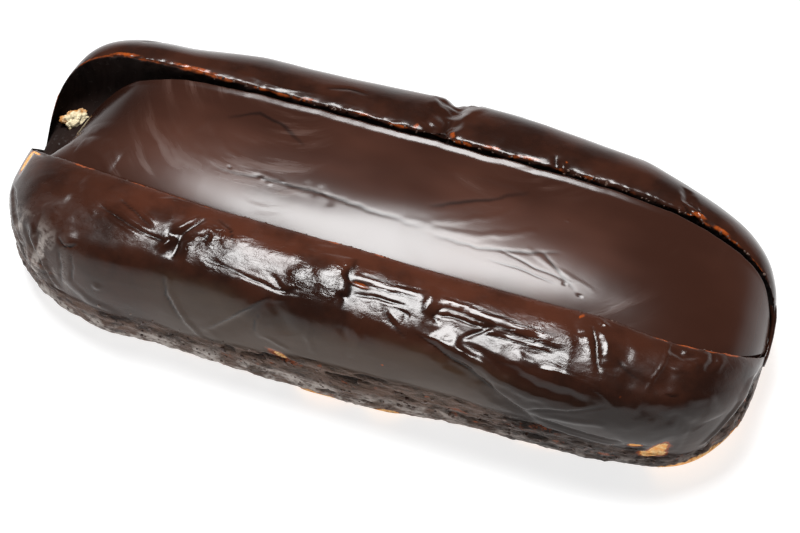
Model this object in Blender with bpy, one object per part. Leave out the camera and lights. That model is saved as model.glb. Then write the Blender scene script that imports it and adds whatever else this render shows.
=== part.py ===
"""A long soft roll, dipped in chocolate and split along its top, with a mound of filling in the split.

Two solids: "roll" is the bread with its coat, and "filling" lies in the slot with a small gap all round.
X runs along the roll, Y from its front lobe to its back lobe, and Z up. The origin is under the middle.
Lengths are in metres and angles in degrees.
"""
import math
from dataclasses import dataclass

import bmesh
import bpy
import numpy as np
from mathutils import Vector

# Driving dimensions
LENGTH = 0.160
LEFT_POWER = 4.8           # how long the split and the front lobe keep their full section to the left
RIGHT_POWER = 4.5          # and the split and the back lobe to the right
BACK_LEFT_POWER = 12.0     # the back lobe's left end is blunter
FRONT_RIGHT_POWER = 5.0    # and so is the front lobe's right end
END_ROOT = 2.9             # how blunt the ends are
TIP_Y = 0.0005             # where the ends close, beside and above the base
TIP_Z = 0.0095
SETTLE = 0.0006            # how far the soft base has settled flat
SLOT_HALF = 0.0163         # half width of the split at its rims
SLOT_RIM = 0.0291          # height of the rims
SLOT_FLOOR = 0.0135        # height of the split's floor
SLOT_SQUARE = 3.5          # how square the split's section is
SWELL_GIRTH = 0.012        # girth from the rim at which a lobe's swells are complete
TUCK_START = 0.022         # girth at which a lobe's foot starts to tuck under and does so fully
TUCK_FULL = 0.042
GAP = 0.0005               # clearance between the filling and the bread
DRAW_IN = 0.0016           # how far the front rim closes in at the left end
DRAW_START = -0.026        # where along X it starts and is complete
DRAW_FULL = -0.062
OPEN_OUT = 0.0013          # how far the front rim opens at the right end
OPEN_START = 0.048         # where along X it starts and is complete
OPEN_FULL = 0.062
DRAW_GIRTH = 0.014         # how far round the lobe it is felt

# Filling
FILLING_LEFT = -0.0735     # where it ends along X
FILLING_RIGHT = 0.0785
BACK_GAP = 0.0003          # the open gap behind its back edge
CROWN = 0.0011             # how far the mound rises above the rims
CROWN_ACROSS = 0.16        # where its crown lies, from -1 at its front edge to 1 at its back edge
FRONT_FALL = 0.0026        # how far it falls from the crown to each shoulder
BACK_FALL = 0.0007
FRONT_BEND = 2.2           # how evenly it falls: 1 is a straight slope, 2 a round one
BACK_BEND = 2.0
EDGE_DROP = 0.0060         # height of the rims above the mound's edges
EDGE_SQUARE = 20.0         # how square its edges are
EDGE_ROOT = 2.6
KEEL_SQUARE = 2.3          # how square its keel is
FILLING_POWER = 12.0       # the same two figures as for the roll's ends
FILLING_ROOT = 2.2
SEAT = 0.4                 # height at which its ends close, as a share of the keel

# Mesh steps
ROWS = 70                  # rings along the roll
END_BUNCHING = 0.75        # share of the rings' spacing that closes up at the ends
BASE_STEPS = 2
SKIN_STEPS = 18
WALL_STEPS = 8
TOP_STEPS = 14
KEEL_STEPS = 10
FINE_STEPS = 400           # steps of the sums that turn tilts into a section


@dataclass(frozen=True)
class Swell:
    """Extra thickness of a lobe along X, rising from start to full, and back down if it is a hump."""

    start: float
    full: float
    rise: float
    hump: bool = False

    def at(self, x):
        """Return the extra thickness at x."""
        share = (x - self.start) / (self.full - self.start)
        if self.hump and share > 1:
            share = 2 - share
        share = min(1.0, max(0.0, share))
        return self.rise * share * share * (3 - 2 * share)


@dataclass(frozen=True)
class Lobe:
    """One half of the split roll, seen in section.

    Its skin starts at the split's rim. A girth is the way round from there, negative inside the split,
    and each tilt pairs a girth with how steeply the skin runs down, in degrees: 0 is level, 90 is a side
    and 180 is the underside.
    """

    side: int              # -1 is the front, 1 the back
    reach: float           # from the split's middle line to the widest point
    tilts: tuple
    swells: tuple
    tucks: tuple = ()
    left_power: float = LEFT_POWER
    right_power: float = RIGHT_POWER

    def thickened(self, x):
        """Return the lobe's extra thickness at x."""
        return sum(swell.at(x) for swell in self.swells)

    def tucked(self, x):
        """Return how far the lobe's foot tucks under at x."""
        return sum(tuck.at(x) for tuck in self.tucks)

    def taper(self, x):
        """Return how much of the full section the lobe keeps at x."""
        return end_taper(2 * x / LENGTH, self.left_power if x < 0 else self.right_power, END_ROOT)

    @property
    def widest(self):
        """Return the largest distance from the split's middle line that the lobe reaches."""
        places = [LENGTH * (step / ROWS - 0.5) for step in range(ROWS + 1)]
        return max((self.reach + self.thickened(x)) * self.taper(x) for x in places)

    @property
    def core(self):
        """Return the middle of the lobe's section, as a distance out and a height."""
        return (SLOT_HALF + self.reach) / 2, SLOT_RIM / 2


@dataclass(frozen=True)
class Dent:
    """A pinch or fold across a lobe."""

    lobe: Lobe
    along: float           # X of its middle
    spread: float          # half width along X
    depth: float           # inwards, so that a ridge is negative
    girth: float           # where it is deepest
    reach: float           # how far it runs to either side of that girth
    slant: float = 0.0     # X gained from its end by the rim to its lower end


FRONT = Lobe(
    side=-1,
    reach=0.0357,
    tilts=(
        (0.0, -75), (0.0007, -14), (0.0035, -6), (0.0065, 2), (0.008, 10), (0.0145, 17), (0.017, 36),
        (0.020, 62), (0.023, 78), (0.029, 86), (0.036, 91), (0.039, 100), (0.0435, 135), (0.0485, 180),
    ),
    swells=(Swell(0.046, 0.064, 0.0006), Swell(-0.036, -0.054, 0.0020)),
    tucks=(Swell(0.004, 0.026, 0.0022), Swell(0.056, 0.074, -0.0022)),
    right_power=FRONT_RIGHT_POWER,
)
BACK = Lobe(
    side=1,
    reach=0.0325,
    tilts=(
        (0.0, -80), (0.0008, -10), (0.0025, 0), (0.005, 8), (0.008, 20), (0.011, 38), (0.014, 55),
        (0.018, 70), (0.024, 82), (0.031, 90), (0.034, 98), (0.038, 132), (0.0425, 180),
    ),
    swells=(
        Swell(-0.036, 0.010, 0.0021, hump=True), Swell(0.042, 0.066, -0.0022), Swell(-0.036, -0.056, -0.0026),
    ),
    left_power=BACK_LEFT_POWER,
)
DENTS = (
    Dent(BACK, 0.0035, 0.0060, 0.0026, 0.006, 0.022),
    Dent(BACK, 0.0590, 0.0035, 0.0012, 0.003, 0.018, -0.006),
    Dent(BACK, 0.0290, 0.0030, 0.0006, 0.000, 0.008),
    Dent(FRONT, -0.0335, 0.0045, 0.0013, 0.010, 0.010, 0.006),
    Dent(FRONT, -0.0055, 0.0030, -0.0009, 0.010, 0.010),
    Dent(FRONT, -0.0005, 0.0040, 0.0012, 0.012, 0.010),
    Dent(FRONT, -0.0190, 0.0080, 0.0009, 0.024, 0.010, -0.010),
    Dent(FRONT, 0.0300, 0.0100, 0.0011, 0.021, 0.009, 0.016),
    Dent(FRONT, 0.0480, 0.0030, 0.0011, 0.008, 0.012, 0.004),
    Dent(FRONT, 0.0520, 0.0025, -0.0008, 0.011, 0.009),
    Dent(FRONT, 0.0650, 0.0045, 0.0007, 0.005, 0.010),
)


def end_taper(along, power, root):
    """Return the share of the full section left at a place from -1 to 1 along a body."""
    return max(0.0, 1.0 - abs(along) ** power) ** (1.0 / root)


def eased(x, start, full):
    """Return how far x has come from start to full, from 0 to 1, easing in and out."""
    share = min(1.0, max(0.0, (x - start) / (full - start)))
    return share * share * (3 - 2 * share)


def draw_in(x):
    """Return how far the front rim has closed in at x, less how far it has opened."""
    closed = DRAW_IN * eased(x, DRAW_START, DRAW_FULL)
    opened = OPEN_OUT * eased(x, OPEN_START, OPEN_FULL)
    return (closed - opened) * roll_taper(x)


def roll_taper(x):
    """Return how much of the full section the split keeps at x."""
    return end_taper(2 * x / LENGTH, LEFT_POWER if x < 0 else RIGHT_POWER, END_ROOT)


MIDDLE_Y = (FRONT.widest - BACK.widest) / 2      # puts the whole width's middle at Y = 0


def stations():
    """Return the rings' X positions, from the left tip to the right tip, without the tips."""
    places = []
    for row in range(1, ROWS):
        even = 2 * row / ROWS - 1
        bunched = math.sin(even * math.pi / 2)
        places.append(LENGTH / 2 * (END_BUNCHING * bunched + (1 - END_BUNCHING) * even))
    return places


def skin_section(lobe):
    """Return a lobe's skin from the rim to the base's edge, as fine steps of girth, out, height and tilt."""
    girths, tilts = np.array(lobe.tilts).T
    girth = np.linspace(0.0, girths[-1], FINE_STEPS)
    tilt = np.radians(np.interp(girth, girths, tilts))
    middle = (tilt[1:] + tilt[:-1]) / 2
    step = np.diff(girth)
    out = np.concatenate([[0.0], np.cumsum(np.cos(middle) * step)])
    fall = np.concatenate([[0.0], np.cumsum(np.sin(middle) * step)])
    out = SLOT_HALF + out * (lobe.reach - SLOT_HALF) / out.max()
    return girth, out, SLOT_RIM * (1 - fall / fall[-1]), tilt


def lobe_section(lobe):
    """Return a lobe's outline from the base's middle, round the lobe, to the split floor's middle.

    Each point is a girth, a distance out from the split's middle line and a height. Points on the skin
    close up where it turns.
    """
    girth, out, height, tilt = skin_section(lobe)
    turned = np.concatenate([[0.0], np.cumsum(np.abs(np.diff(tilt)))])
    share = girth / girth[-1] + turned / turned[-1]
    places = np.interp(np.linspace(share[-1], 0.0, SKIN_STEPS + 1), share, girth)
    points = []
    for step in range(BASE_STEPS):
        inwards = out[-1] * (1 - step / BASE_STEPS)
        points.append((girth[-1] + inwards, out[-1] - inwards, 0.0))
    for place in places:
        points.append((place, np.interp(place, girth, out), np.interp(place, girth, height)))
    run = 0.0
    for step in range(1, WALL_STEPS + 1):
        turn = math.pi / 2 * step / WALL_STEPS
        wall_out = SLOT_HALF * max(0.0, math.cos(turn)) ** (2 / SLOT_SQUARE)
        wall_height = SLOT_RIM - (SLOT_RIM - SLOT_FLOOR) * math.sin(turn) ** (2 / SLOT_SQUARE)
        run -= math.hypot(wall_out - points[-1][1], wall_height - points[-1][2])
        points.append((run, wall_out, wall_height))
    return points


FRONT_SECTION = lobe_section(FRONT)
BACK_SECTION = lobe_section(BACK)


def dent_depth(lobe, x, girth):
    """Return how far the dents press a lobe's skin in at one place of its full section."""
    total = 0.0
    for dent in DENTS:
        swing = (girth - dent.girth) / dent.reach
        if dent.lobe is not lobe or abs(swing) >= 1:
            continue
        offset = abs(x - dent.along - dent.slant * swing / 2) / dent.spread
        if offset < 1:
            total += dent.depth * (1 - offset) ** 1.5 * math.cos(swing * math.pi / 2)
    return total


def roll_point(lobe, x, girth, out, height):
    """Return a point of a lobe's full section, dented, drawn in towards the ends and settled."""
    core_out, core_height = lobe.core
    span = math.hypot(out - core_out, height - core_height)
    keep = 1 - dent_depth(lobe, x, girth) / span
    out = core_out + (out - core_out) * keep
    height = core_height + (height - core_height) * keep
    share = min(1.0, max(0.0, girth / SWELL_GIRTH))
    inward = min(1.0, out / SLOT_HALF)
    out += lobe.thickened(x) * share * share * (3 - 2 * share) * inward
    out -= lobe.tucked(x) * eased(girth, TUCK_START, TUCK_FULL) * inward
    taper = lobe.taper(x)
    y = TIP_Y + (lobe.side * out - TIP_Y) * taper
    if lobe is FRONT:
        y += draw_in(x) * min(1.0, max(0.0, 1 - girth / DRAW_GIRTH)) * inward
    z = TIP_Z + (height - TIP_Z) * taper
    return Vector((x, y + MIDDLE_Y, max(z - SETTLE, 0.0)))


def roll_ring(x):
    """Return the roll's whole outline at x, once round."""
    front = [roll_point(FRONT, x, *point) for point in FRONT_SECTION]
    back = [roll_point(BACK, x, *point) for point in BACK_SECTION]
    return front + back[-2:0:-1]


def mound_section():
    """Return the filling's outline once round: a place across, a fall below the crown and a keel depth.

    The place across runs from -1 to 1, the fall is a length, and the depth is a share of the keel's height.
    """
    points = []
    for step in range(TOP_STEPS):
        across = math.cos(math.pi * step / TOP_STEPS)
        forward = max(0.0, CROWN_ACROSS - across) / (1 + CROWN_ACROSS)
        backward = max(0.0, across - CROWN_ACROSS) / (1 - CROWN_ACROSS)
        fall = FRONT_FALL * forward**FRONT_BEND + BACK_FALL * backward**BACK_BEND
        shoulder = (1 - abs(across) ** EDGE_SQUARE) ** (1 / EDGE_ROOT)
        drop = CROWN + EDGE_DROP
        points.append((across, drop - (drop - fall) * shoulder, 0.0))
    for step in range(KEEL_STEPS):
        turn = math.pi * (1 + step / KEEL_STEPS)
        across = math.copysign(abs(math.cos(turn)) ** (2 / KEEL_SQUARE), math.cos(turn))
        points.append((across, CROWN + EDGE_DROP, abs(math.sin(turn)) ** (2 / KEEL_SQUARE)))
    return points


def filling_ring(x):
    """Return the filling's outline at x, once round: a mound above its edges and a keel below them."""
    middle = (FILLING_LEFT + FILLING_RIGHT) / 2
    half = (FILLING_RIGHT - FILLING_LEFT) / 2
    end = end_taper((x - middle) / half, FILLING_POWER, FILLING_ROOT)
    taper = roll_taper(x)
    front = SLOT_HALF * taper - GAP - draw_in(x)
    back = (SLOT_HALF - BACK_GAP) * taper - GAP
    centre = TIP_Y * (1 - taper) + MIDDLE_Y + (back - front) / 2
    half_width = (front + back) / 2
    rim = TIP_Z + (SLOT_RIM - TIP_Z) * taper - SETTLE
    floor = TIP_Z + (SLOT_FLOOR - TIP_Z) * taper - SETTLE + GAP
    edge = rim - EDGE_DROP * taper
    seat = floor + (edge - floor) * SEAT
    ring = []
    for across, fall, depth in mound_section():
        height = rim + (CROWN - fall) * taper - (edge - floor) * depth
        ring.append(Vector((x, centre + across * half_width * end, seat + (height - seat) * end)))
    return ring


def wrap_sphere(name, rings, tips):
    """Carry a sphere's vertices onto rings of points, and its poles onto the two tips.

    Args:
        name: the object's name.
        rings: lists of the same number of points, in order from the first tip to the second.
        tips: the two end points.

    Returns:
        The new object.
    """
    count = len(rings[0])
    bands = len(rings) + 1
    bm = bmesh.new()
    bmesh.ops.create_uvsphere(bm, u_segments=count, v_segments=bands, radius=1.0)
    for vert in bm.verts:
        row = round(math.acos(max(-1.0, min(1.0, vert.co.z))) / math.pi * bands)
        column = round(math.atan2(vert.co.y, vert.co.x) / (2 * math.pi) * count) % count
        if row == 0:
            vert.co = tips[0]
        elif row == bands:
            vert.co = tips[1]
        else:
            vert.co = rings[row - 1][column]
    bmesh.ops.recalc_face_normals(bm, faces=bm.faces)
    if bm.calc_volume(signed=True) < 0:
        bmesh.ops.reverse_faces(bm, faces=bm.faces)
    mesh = bpy.data.meshes.new(name)
    bm.to_mesh(mesh)
    bm.free()
    mesh.shade_smooth()
    return bpy.data.objects.new(name, mesh)


def paint(obj, name, colour, roughness):
    """Give an object its own plain material."""
    material = bpy.data.materials.new(name)
    material.use_nodes = True
    shader = material.node_tree.nodes["Principled BSDF"]
    shader.inputs["Base Color"].default_value = (*colour, 1.0)
    shader.inputs["Roughness"].default_value = roughness
    shader.inputs["Metallic"].default_value = 0.0
    obj.data.materials.append(material)


def make_roll():
    """Make the bread roll with its coat, split along the top."""
    tip_height = TIP_Z - SETTLE
    tips = [Vector((end * LENGTH / 2, TIP_Y + MIDDLE_Y, tip_height)) for end in (-1, 1)]
    roll = wrap_sphere("roll", [roll_ring(x) for x in stations()], tips)
    paint(roll, "dark_chocolate_coat", (0.045, 0.022, 0.014), 0.3)
    return roll


def make_filling():
    """Make the mound of filling that lies in the split."""
    inside = [x for x in stations() if FILLING_LEFT < x < FILLING_RIGHT]
    tips = []
    for x, ring in ((FILLING_LEFT, filling_ring(inside[0])), (FILLING_RIGHT, filling_ring(inside[-1]))):
        centre = sum(ring, Vector()) / len(ring)
        tips.append(Vector((x, centre.y, centre.z)))
    filling = wrap_sphere("filling", [filling_ring(x) for x in inside], tips)
    paint(filling, "smooth_chocolate_filling", (0.060, 0.028, 0.018), 0.25)
    return filling


def main():
    """Empty the scene and build the object in its own collection."""
    for old in list(bpy.data.objects):
        bpy.data.objects.remove(old)
    collection = bpy.data.collections.new("cream_filled_roll")
    bpy.context.scene.collection.children.link(collection)
    for piece in (make_roll(), make_filling()):
        collection.objects.link(piece)


main()
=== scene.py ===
"""A chocolate-dipped bread roll, split along its top, with a chocolate-skinned mound in the split.

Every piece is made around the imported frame: X runs along the roll, Y from its front lobe to its back lobe
and Z up, in metres. The roll's skin is one closed form: its coat, its torn lower edge and its bare
underside differ by attributes that the finish reads.
"""
import logging
import math
from dataclasses import dataclass
from enum import Enum, IntEnum

import bmesh
import bpy
import numpy as np
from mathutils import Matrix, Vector


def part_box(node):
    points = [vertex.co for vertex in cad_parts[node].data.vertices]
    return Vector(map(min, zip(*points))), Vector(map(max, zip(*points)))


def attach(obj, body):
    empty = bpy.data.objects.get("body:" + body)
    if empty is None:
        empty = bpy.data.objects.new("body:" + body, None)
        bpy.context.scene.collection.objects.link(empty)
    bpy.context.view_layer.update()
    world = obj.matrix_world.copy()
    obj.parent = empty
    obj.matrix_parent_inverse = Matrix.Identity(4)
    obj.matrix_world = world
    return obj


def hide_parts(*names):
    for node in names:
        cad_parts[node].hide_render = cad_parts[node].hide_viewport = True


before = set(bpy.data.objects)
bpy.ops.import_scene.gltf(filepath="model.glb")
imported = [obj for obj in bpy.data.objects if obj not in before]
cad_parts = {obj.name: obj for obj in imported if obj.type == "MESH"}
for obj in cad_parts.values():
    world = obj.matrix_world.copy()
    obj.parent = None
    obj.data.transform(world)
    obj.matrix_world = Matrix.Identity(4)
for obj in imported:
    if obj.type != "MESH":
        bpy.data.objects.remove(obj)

logging.basicConfig(level=logging.INFO, format="%(message)s")
log = logging.getLogger("roll")

MM = 0.001
ROLL_NODE = "roll"
FILLING_NODE = "filling"
BODY = "root"


class Slot(Enum):
    """The record's material slots, one passed with each piece."""

    COAT = "coat"
    FILLING = "filling"
    CREAM = "cream"


class Seed(IntEnum):
    """The noises' seeds, one for each use."""

    FOOT = 11
    RIM = 12
    CRINKLE = 13
    TORN_TOP = 14
    TINT = 15
    CRUMB_SHEEN = 16
    SATIN = 17
    STREAKS = 18
    SWELL = 21
    FOLDS = 22
    SCALES = 23
    BASE = 24
    CREASES = 25
    PITS = 26
    EDGE = 27
    WALLS = 28
    MARKS = 29
    FLUTES = 30
    MOUND = 31
    MOUND_MARKS = 32
    MOUND_EDGE = 33
    CREAM = 41
    STRAND = 43


# ---------------------------------------------------------------------------------------------------
# Numbers over a surface
# ---------------------------------------------------------------------------------------------------


def smooth(low: float, high: float, value: np.ndarray) -> np.ndarray:
    """Return a smooth step from 0 at low to 1 at high."""
    t = np.clip((value - low) / (high - low), 0.0, 1.0)
    return t * t * (3 - 2 * t)


def bell(value: np.ndarray) -> np.ndarray:
    """Return a bell that is 1 at 0 and 0 from 1 outwards."""
    return (1 - np.clip(np.abs(value), 0.0, 1.0) ** 2) ** 2


@dataclass(frozen=True)
class Noise:
    """Seeded gradient noise over points in space."""

    seed: int = 1

    def _corner(self, cell: np.ndarray) -> np.ndarray:
        """Return a random direction for each lattice corner.

        Args:
            cell: the corners' whole-number places.

        Returns:
            One unit vector for each corner.
        """
        mixed = (cell[..., 0] * 73856093) ^ (cell[..., 1] * 19349663) ^ (cell[..., 2] * 83492791)
        mixed = (mixed + self.seed * 2654435761) & 0xFFFFFFFF
        mixed = ((mixed ^ (mixed >> 15)) * 2246822519) & 0xFFFFFFFF
        mixed = ((mixed ^ (mixed >> 13)) * 3266489917) & 0xFFFFFFFF
        turn = (mixed & 0xFFFF) / 65535.0 * 2 * math.pi
        height = ((mixed >> 16) & 0xFFFF) / 32767.5 - 1
        flat = np.sqrt(np.clip(1 - height**2, 0, 1))
        return np.stack([flat * np.cos(turn), flat * np.sin(turn), height], axis=-1)

    def at(self, points: np.ndarray, size: float) -> np.ndarray:
        """Return noise from about -1 to 1.

        Args:
            points: positions, with X, Y and Z last.
            size: the width of one hump, in the points' units.

        Returns:
            One value for each point.
        """
        scaled = points / size
        cell = np.floor(scaled).astype(np.int64)
        inner = scaled - cell
        fade = inner**3 * (inner * (inner * 6 - 15) + 10)
        total = np.zeros(points.shape[:-1])
        for corner in np.ndindex(2, 2, 2):
            offset = np.array(corner)
            weight = np.prod(np.where(offset == 1, fade, 1 - fade), axis=-1)
            total += weight * np.sum(self._corner(cell + offset) * (inner - offset), axis=-1)
        return total * 1.6

    def layers(self, points: np.ndarray, size: float, count: int = 4, keep: float = 0.5) -> np.ndarray:
        """Return layered noise, each layer half the size of the one before.

        Args:
            points: positions, with X, Y and Z last.
            size: the width of the first layer's humps, in the points' units.
            count: how many layers.
            keep: each layer's strength beside that of the one before.

        Returns:
            One value for each point.
        """
        total = np.zeros(points.shape[:-1])
        strength = 1.0
        for step in range(count):
            total += strength * Noise(self.seed + step).at(points, size / 2**step)
            strength *= keep
        return total

    def ridges(self, points: np.ndarray, size: float, count: int = 3) -> np.ndarray:
        """Return sharp-crested noise from 0 to 1, as crumpled film has.

        Args:
            points: positions, with X, Y and Z last.
            size: the width of the first layer's humps, in the points' units.
            count: how many layers.

        Returns:
            One value for each point.
        """
        total = np.zeros(points.shape[:-1])
        strength = 0.6
        for step in range(count):
            total += strength * (1 - np.abs(Noise(self.seed + step).at(points, size / 2**step)))
            strength *= 0.45
        return total


def stretched(points: np.ndarray, along: float, across: float = 1.0, up: float = 1.0) -> np.ndarray:
    """Return points squeezed so that noise over them comes out stretched by these factors."""
    return points / np.array([along, across, up])


# ---------------------------------------------------------------------------------------------------
# The plain form of the roll
# ---------------------------------------------------------------------------------------------------


@dataclass(frozen=True)
class Swell:
    """Extra thickness of a lobe along X, rising from start to full, and back down if it is a hump."""

    start: float
    full: float
    rise: float
    hump: bool = False

    def at(self, x: np.ndarray) -> np.ndarray:
        """Return the extra thickness at x.

        Args:
            x: places along X, in metres.

        Returns:
            One thickness for each place, in metres.
        """
        share = (x - self.start) / (self.full - self.start)
        if self.hump:
            share = np.where(share > 1, 2 - share, share)
        return self.rise * smooth(0, 1, share)


@dataclass(frozen=True)
class Lobe:
    """One half of the split roll, seen in section.

    Its skin starts at the split's rim, and each tilt pairs a girth in metres with how steeply the skin
    runs down there, in degrees: 0 is level, 90 is a side and 180 is the underside.
    """

    side: int
    reach: float
    tilts: tuple
    swells: tuple
    tucks: tuple = ()
    left_power: float = 4.8
    right_power: float = 4.5

    def thickened(self, x: np.ndarray) -> np.ndarray:
        """Return the lobe's extra thickness at x."""
        return sum(swell.at(x) for swell in self.swells)

    def tucked(self, x: np.ndarray) -> np.ndarray:
        """Return how far the lobe's foot tucks under at x."""
        return sum(tuck.at(x) for tuck in self.tucks) + np.zeros(np.shape(x))


FRONT = Lobe(
    side=-1,
    reach=0.0357,
    tilts=(
        (0.0, -75), (0.0007, -14), (0.0035, -6), (0.0065, 2), (0.008, 10), (0.0145, 17), (0.017, 36),
        (0.020, 62), (0.023, 78), (0.029, 86), (0.036, 91), (0.039, 100), (0.0435, 135), (0.0485, 180),
    ),
    swells=(Swell(0.046, 0.064, 0.0006), Swell(-0.036, -0.054, 0.0020)),
    tucks=(Swell(0.004, 0.026, 0.0022), Swell(0.056, 0.074, -0.0022)),
    right_power=5.0,
)
BACK = Lobe(
    side=1,
    reach=0.0325,
    tilts=(
        (0.0, -80), (0.0008, -10), (0.0025, 0), (0.005, 8), (0.008, 20), (0.011, 38), (0.014, 55),
        (0.018, 70), (0.024, 82), (0.031, 90), (0.034, 98), (0.038, 132), (0.0425, 180),
    ),
    swells=(
        Swell(-0.036, 0.010, 0.0021, hump=True), Swell(0.042, 0.066, -0.0022), Swell(-0.036, -0.056, -0.0026),
    ),
    left_power=12.0,
)


@dataclass(frozen=True)
class RollForm:
    """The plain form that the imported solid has, with the same driving sizes."""

    left_power: float = 4.8
    right_power: float = 4.5
    end_root: float = 2.9
    tip_y: float = 0.0005
    tip_z: float = 0.0095
    settle: float = 0.0006
    slot_half: float = 0.0163
    slot_rim: float = 0.0291
    slot_floor: float = 0.0135
    slot_square: float = 3.5
    draw_in: float = 0.0016
    draw_start: float = -0.026
    draw_full: float = -0.062
    draw_girth: float = 0.014
    open_out: float = 0.0013
    open_start: float = 0.048
    open_full: float = 0.062
    swell_girth: float = 0.012
    tuck_start: float = 0.022
    tuck_full: float = 0.042

    @property
    def half_length(self) -> float:
        """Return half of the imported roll's length."""
        low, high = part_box(ROLL_NODE)
        return (high[0] - low[0]) / 2

    @property
    def middle_y(self) -> float:
        """Return where the split's middle line lies, which is off the whole width's middle."""
        return (self.widest(FRONT) - self.widest(BACK)) / 2

    def widest(self, lobe: Lobe) -> float:
        """Return the largest distance from the split's middle line that a lobe reaches."""
        x = np.linspace(-1, 1, 71) * self.half_length
        return float(np.max((lobe.reach + lobe.thickened(x)) * self.taper(x, lobe)))

    def taper(self, x: np.ndarray, lobe: Lobe | None = None) -> np.ndarray:
        """Return the share of the full section that the split, or a lobe, keeps at x.

        Args:
            x: places along X, in metres.
            lobe: whose ends to follow, or none for the split's own.

        Returns:
            One share for each place.
        """
        along = np.clip(np.abs(x) / self.half_length, 0, 1)
        ends = lobe or self
        power = np.where(x < 0, ends.left_power, ends.right_power)
        return (1 - along**power) ** (1 / self.end_root)

    def stations(self, rows: int, bunching: float = 0.75) -> np.ndarray:
        """Return the rings' places along X, closing up towards the ends."""
        even = np.linspace(-1, 1, rows + 1)[1:-1]
        return self.half_length * (bunching * np.sin(even * math.pi / 2) + (1 - bunching) * even)

    def drawn(self, x: np.ndarray) -> np.ndarray:
        """Return how far the front rim has closed in at x: it closes at the left and opens at the right.

        Args:
            x: places along X, in metres.

        Returns:
            One distance for each place, in metres.
        """
        closed = self.draw_in * smooth(self.draw_start, self.draw_full, x)
        opened = self.open_out * smooth(self.open_start, self.open_full, x)
        return (closed - opened) * self.taper(x)

    def skin(self, lobe: Lobe, fine: int = 1500) -> tuple[np.ndarray, np.ndarray, np.ndarray]:
        """Return the girth, distance out and height of a lobe's skin, from the rim to the base's edge.

        Args:
            lobe: which half.
            fine: how many points.

        Returns:
            Three lengths for each point, in metres.
        """
        girths, tilts = np.array(lobe.tilts).T
        girth = np.linspace(0, girths[-1], fine)
        tilt = np.radians(np.interp(girth, girths, tilts))
        step = np.diff(girth)
        middle = (tilt[1:] + tilt[:-1]) / 2
        out = np.concatenate([[0], np.cumsum(np.cos(middle) * step)])
        fall = np.concatenate([[0], np.cumsum(np.sin(middle) * step)])
        out = self.slot_half + out * (lobe.reach - self.slot_half) / out.max()
        return girth, out, self.slot_rim * (1 - fall / fall[-1])

    def section(self, lobe: Lobe, fine: int = 300) -> tuple[np.ndarray, np.ndarray, np.ndarray]:
        """Return a lobe's whole outline by its girth.

        Args:
            lobe: which half.
            fine: points on the split's wall.

        Returns:
            The girth, which is 0 at the rim, grows down the outside and is negative inside the split;
            the distance out from the split's middle line; and the height.
        """
        girth, out, up = self.skin(lobe)
        turn = np.linspace(0, math.pi / 2, fine)[1:]
        power = 2 / self.slot_square
        wall_out = self.slot_half * np.cos(turn) ** power
        wall_up = self.slot_rim - (self.slot_rim - self.slot_floor) * np.sin(turn) ** power
        steps = np.hypot(np.diff(wall_out, prepend=self.slot_half), np.diff(wall_up, prepend=self.slot_rim))
        wall = -np.cumsum(steps)
        girth = np.concatenate([wall[::-1], girth, [girth[-1] + out[-1]]])
        out = np.concatenate([wall_out[::-1], out, [0.0]])
        up = np.concatenate([wall_up[::-1], up, [0.0]])
        return girth, out, up

    def place(self, lobe: Lobe, x: np.ndarray, girth: np.ndarray) -> np.ndarray:
        """Return the points at places along X and girths of one lobe.

        Args:
            lobe: which half.
            x: places along X, in metres.
            girth: places round the section, in metres.

        Returns:
            Positions, with X, Y and Z last.
        """
        run, out, up = self.section(lobe)
        out_at = np.interp(girth, run, out)
        up_at = np.interp(girth, run, up)
        inward = np.clip(out_at / self.slot_half, 0, 1)
        out_at = out_at + lobe.thickened(x) * smooth(0, self.swell_girth, girth) * inward
        out_at = out_at - lobe.tucked(x) * smooth(self.tuck_start, self.tuck_full, girth) * inward
        taper = self.taper(x, lobe)
        y = self.tip_y + (lobe.side * out_at - self.tip_y) * taper + self.middle_y
        if lobe is FRONT:
            y = y + self.drawn(x) * np.clip(1 - girth / self.draw_girth, 0, 1) * inward
        z = self.tip_z + (up_at - self.tip_z) * taper - self.settle
        return np.stack([x, y, np.maximum(z, 0.0)], axis=-1)


FORM = RollForm()


def spaced(stops: list[tuple[float, float]]) -> np.ndarray:
    """Return values from the first stop to the last, with each stretch's own spacing.

    Args:
        stops: pairs of a value and the spacing after it, in falling order.

    Returns:
        The values, without the last stop.
    """
    values = []
    for (start, gap), (end, _) in zip(stops, stops[1:]):
        count = max(1, round(abs(start - end) / gap))
        values.append(np.linspace(start, end, count, endpoint=False))
    return np.concatenate(values)


def grid_normals(grid: np.ndarray) -> np.ndarray:
    """Return unit normals of a grid of points whose columns close into rings, facing outwards.

    Args:
        grid: rings of points, in order along X.

    Returns:
        One vector for each point.
    """
    along = np.gradient(grid, axis=0)
    around = np.roll(grid, -1, axis=1) - np.roll(grid, 1, axis=1)
    normal = np.cross(around, along)
    normal /= np.maximum(np.linalg.norm(normal, axis=-1, keepdims=True), 1e-12)
    centre = grid.mean(axis=1, keepdims=True)
    outward = np.sign(np.median(np.sum(normal * (grid - centre), axis=-1)))
    return normal * outward


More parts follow.
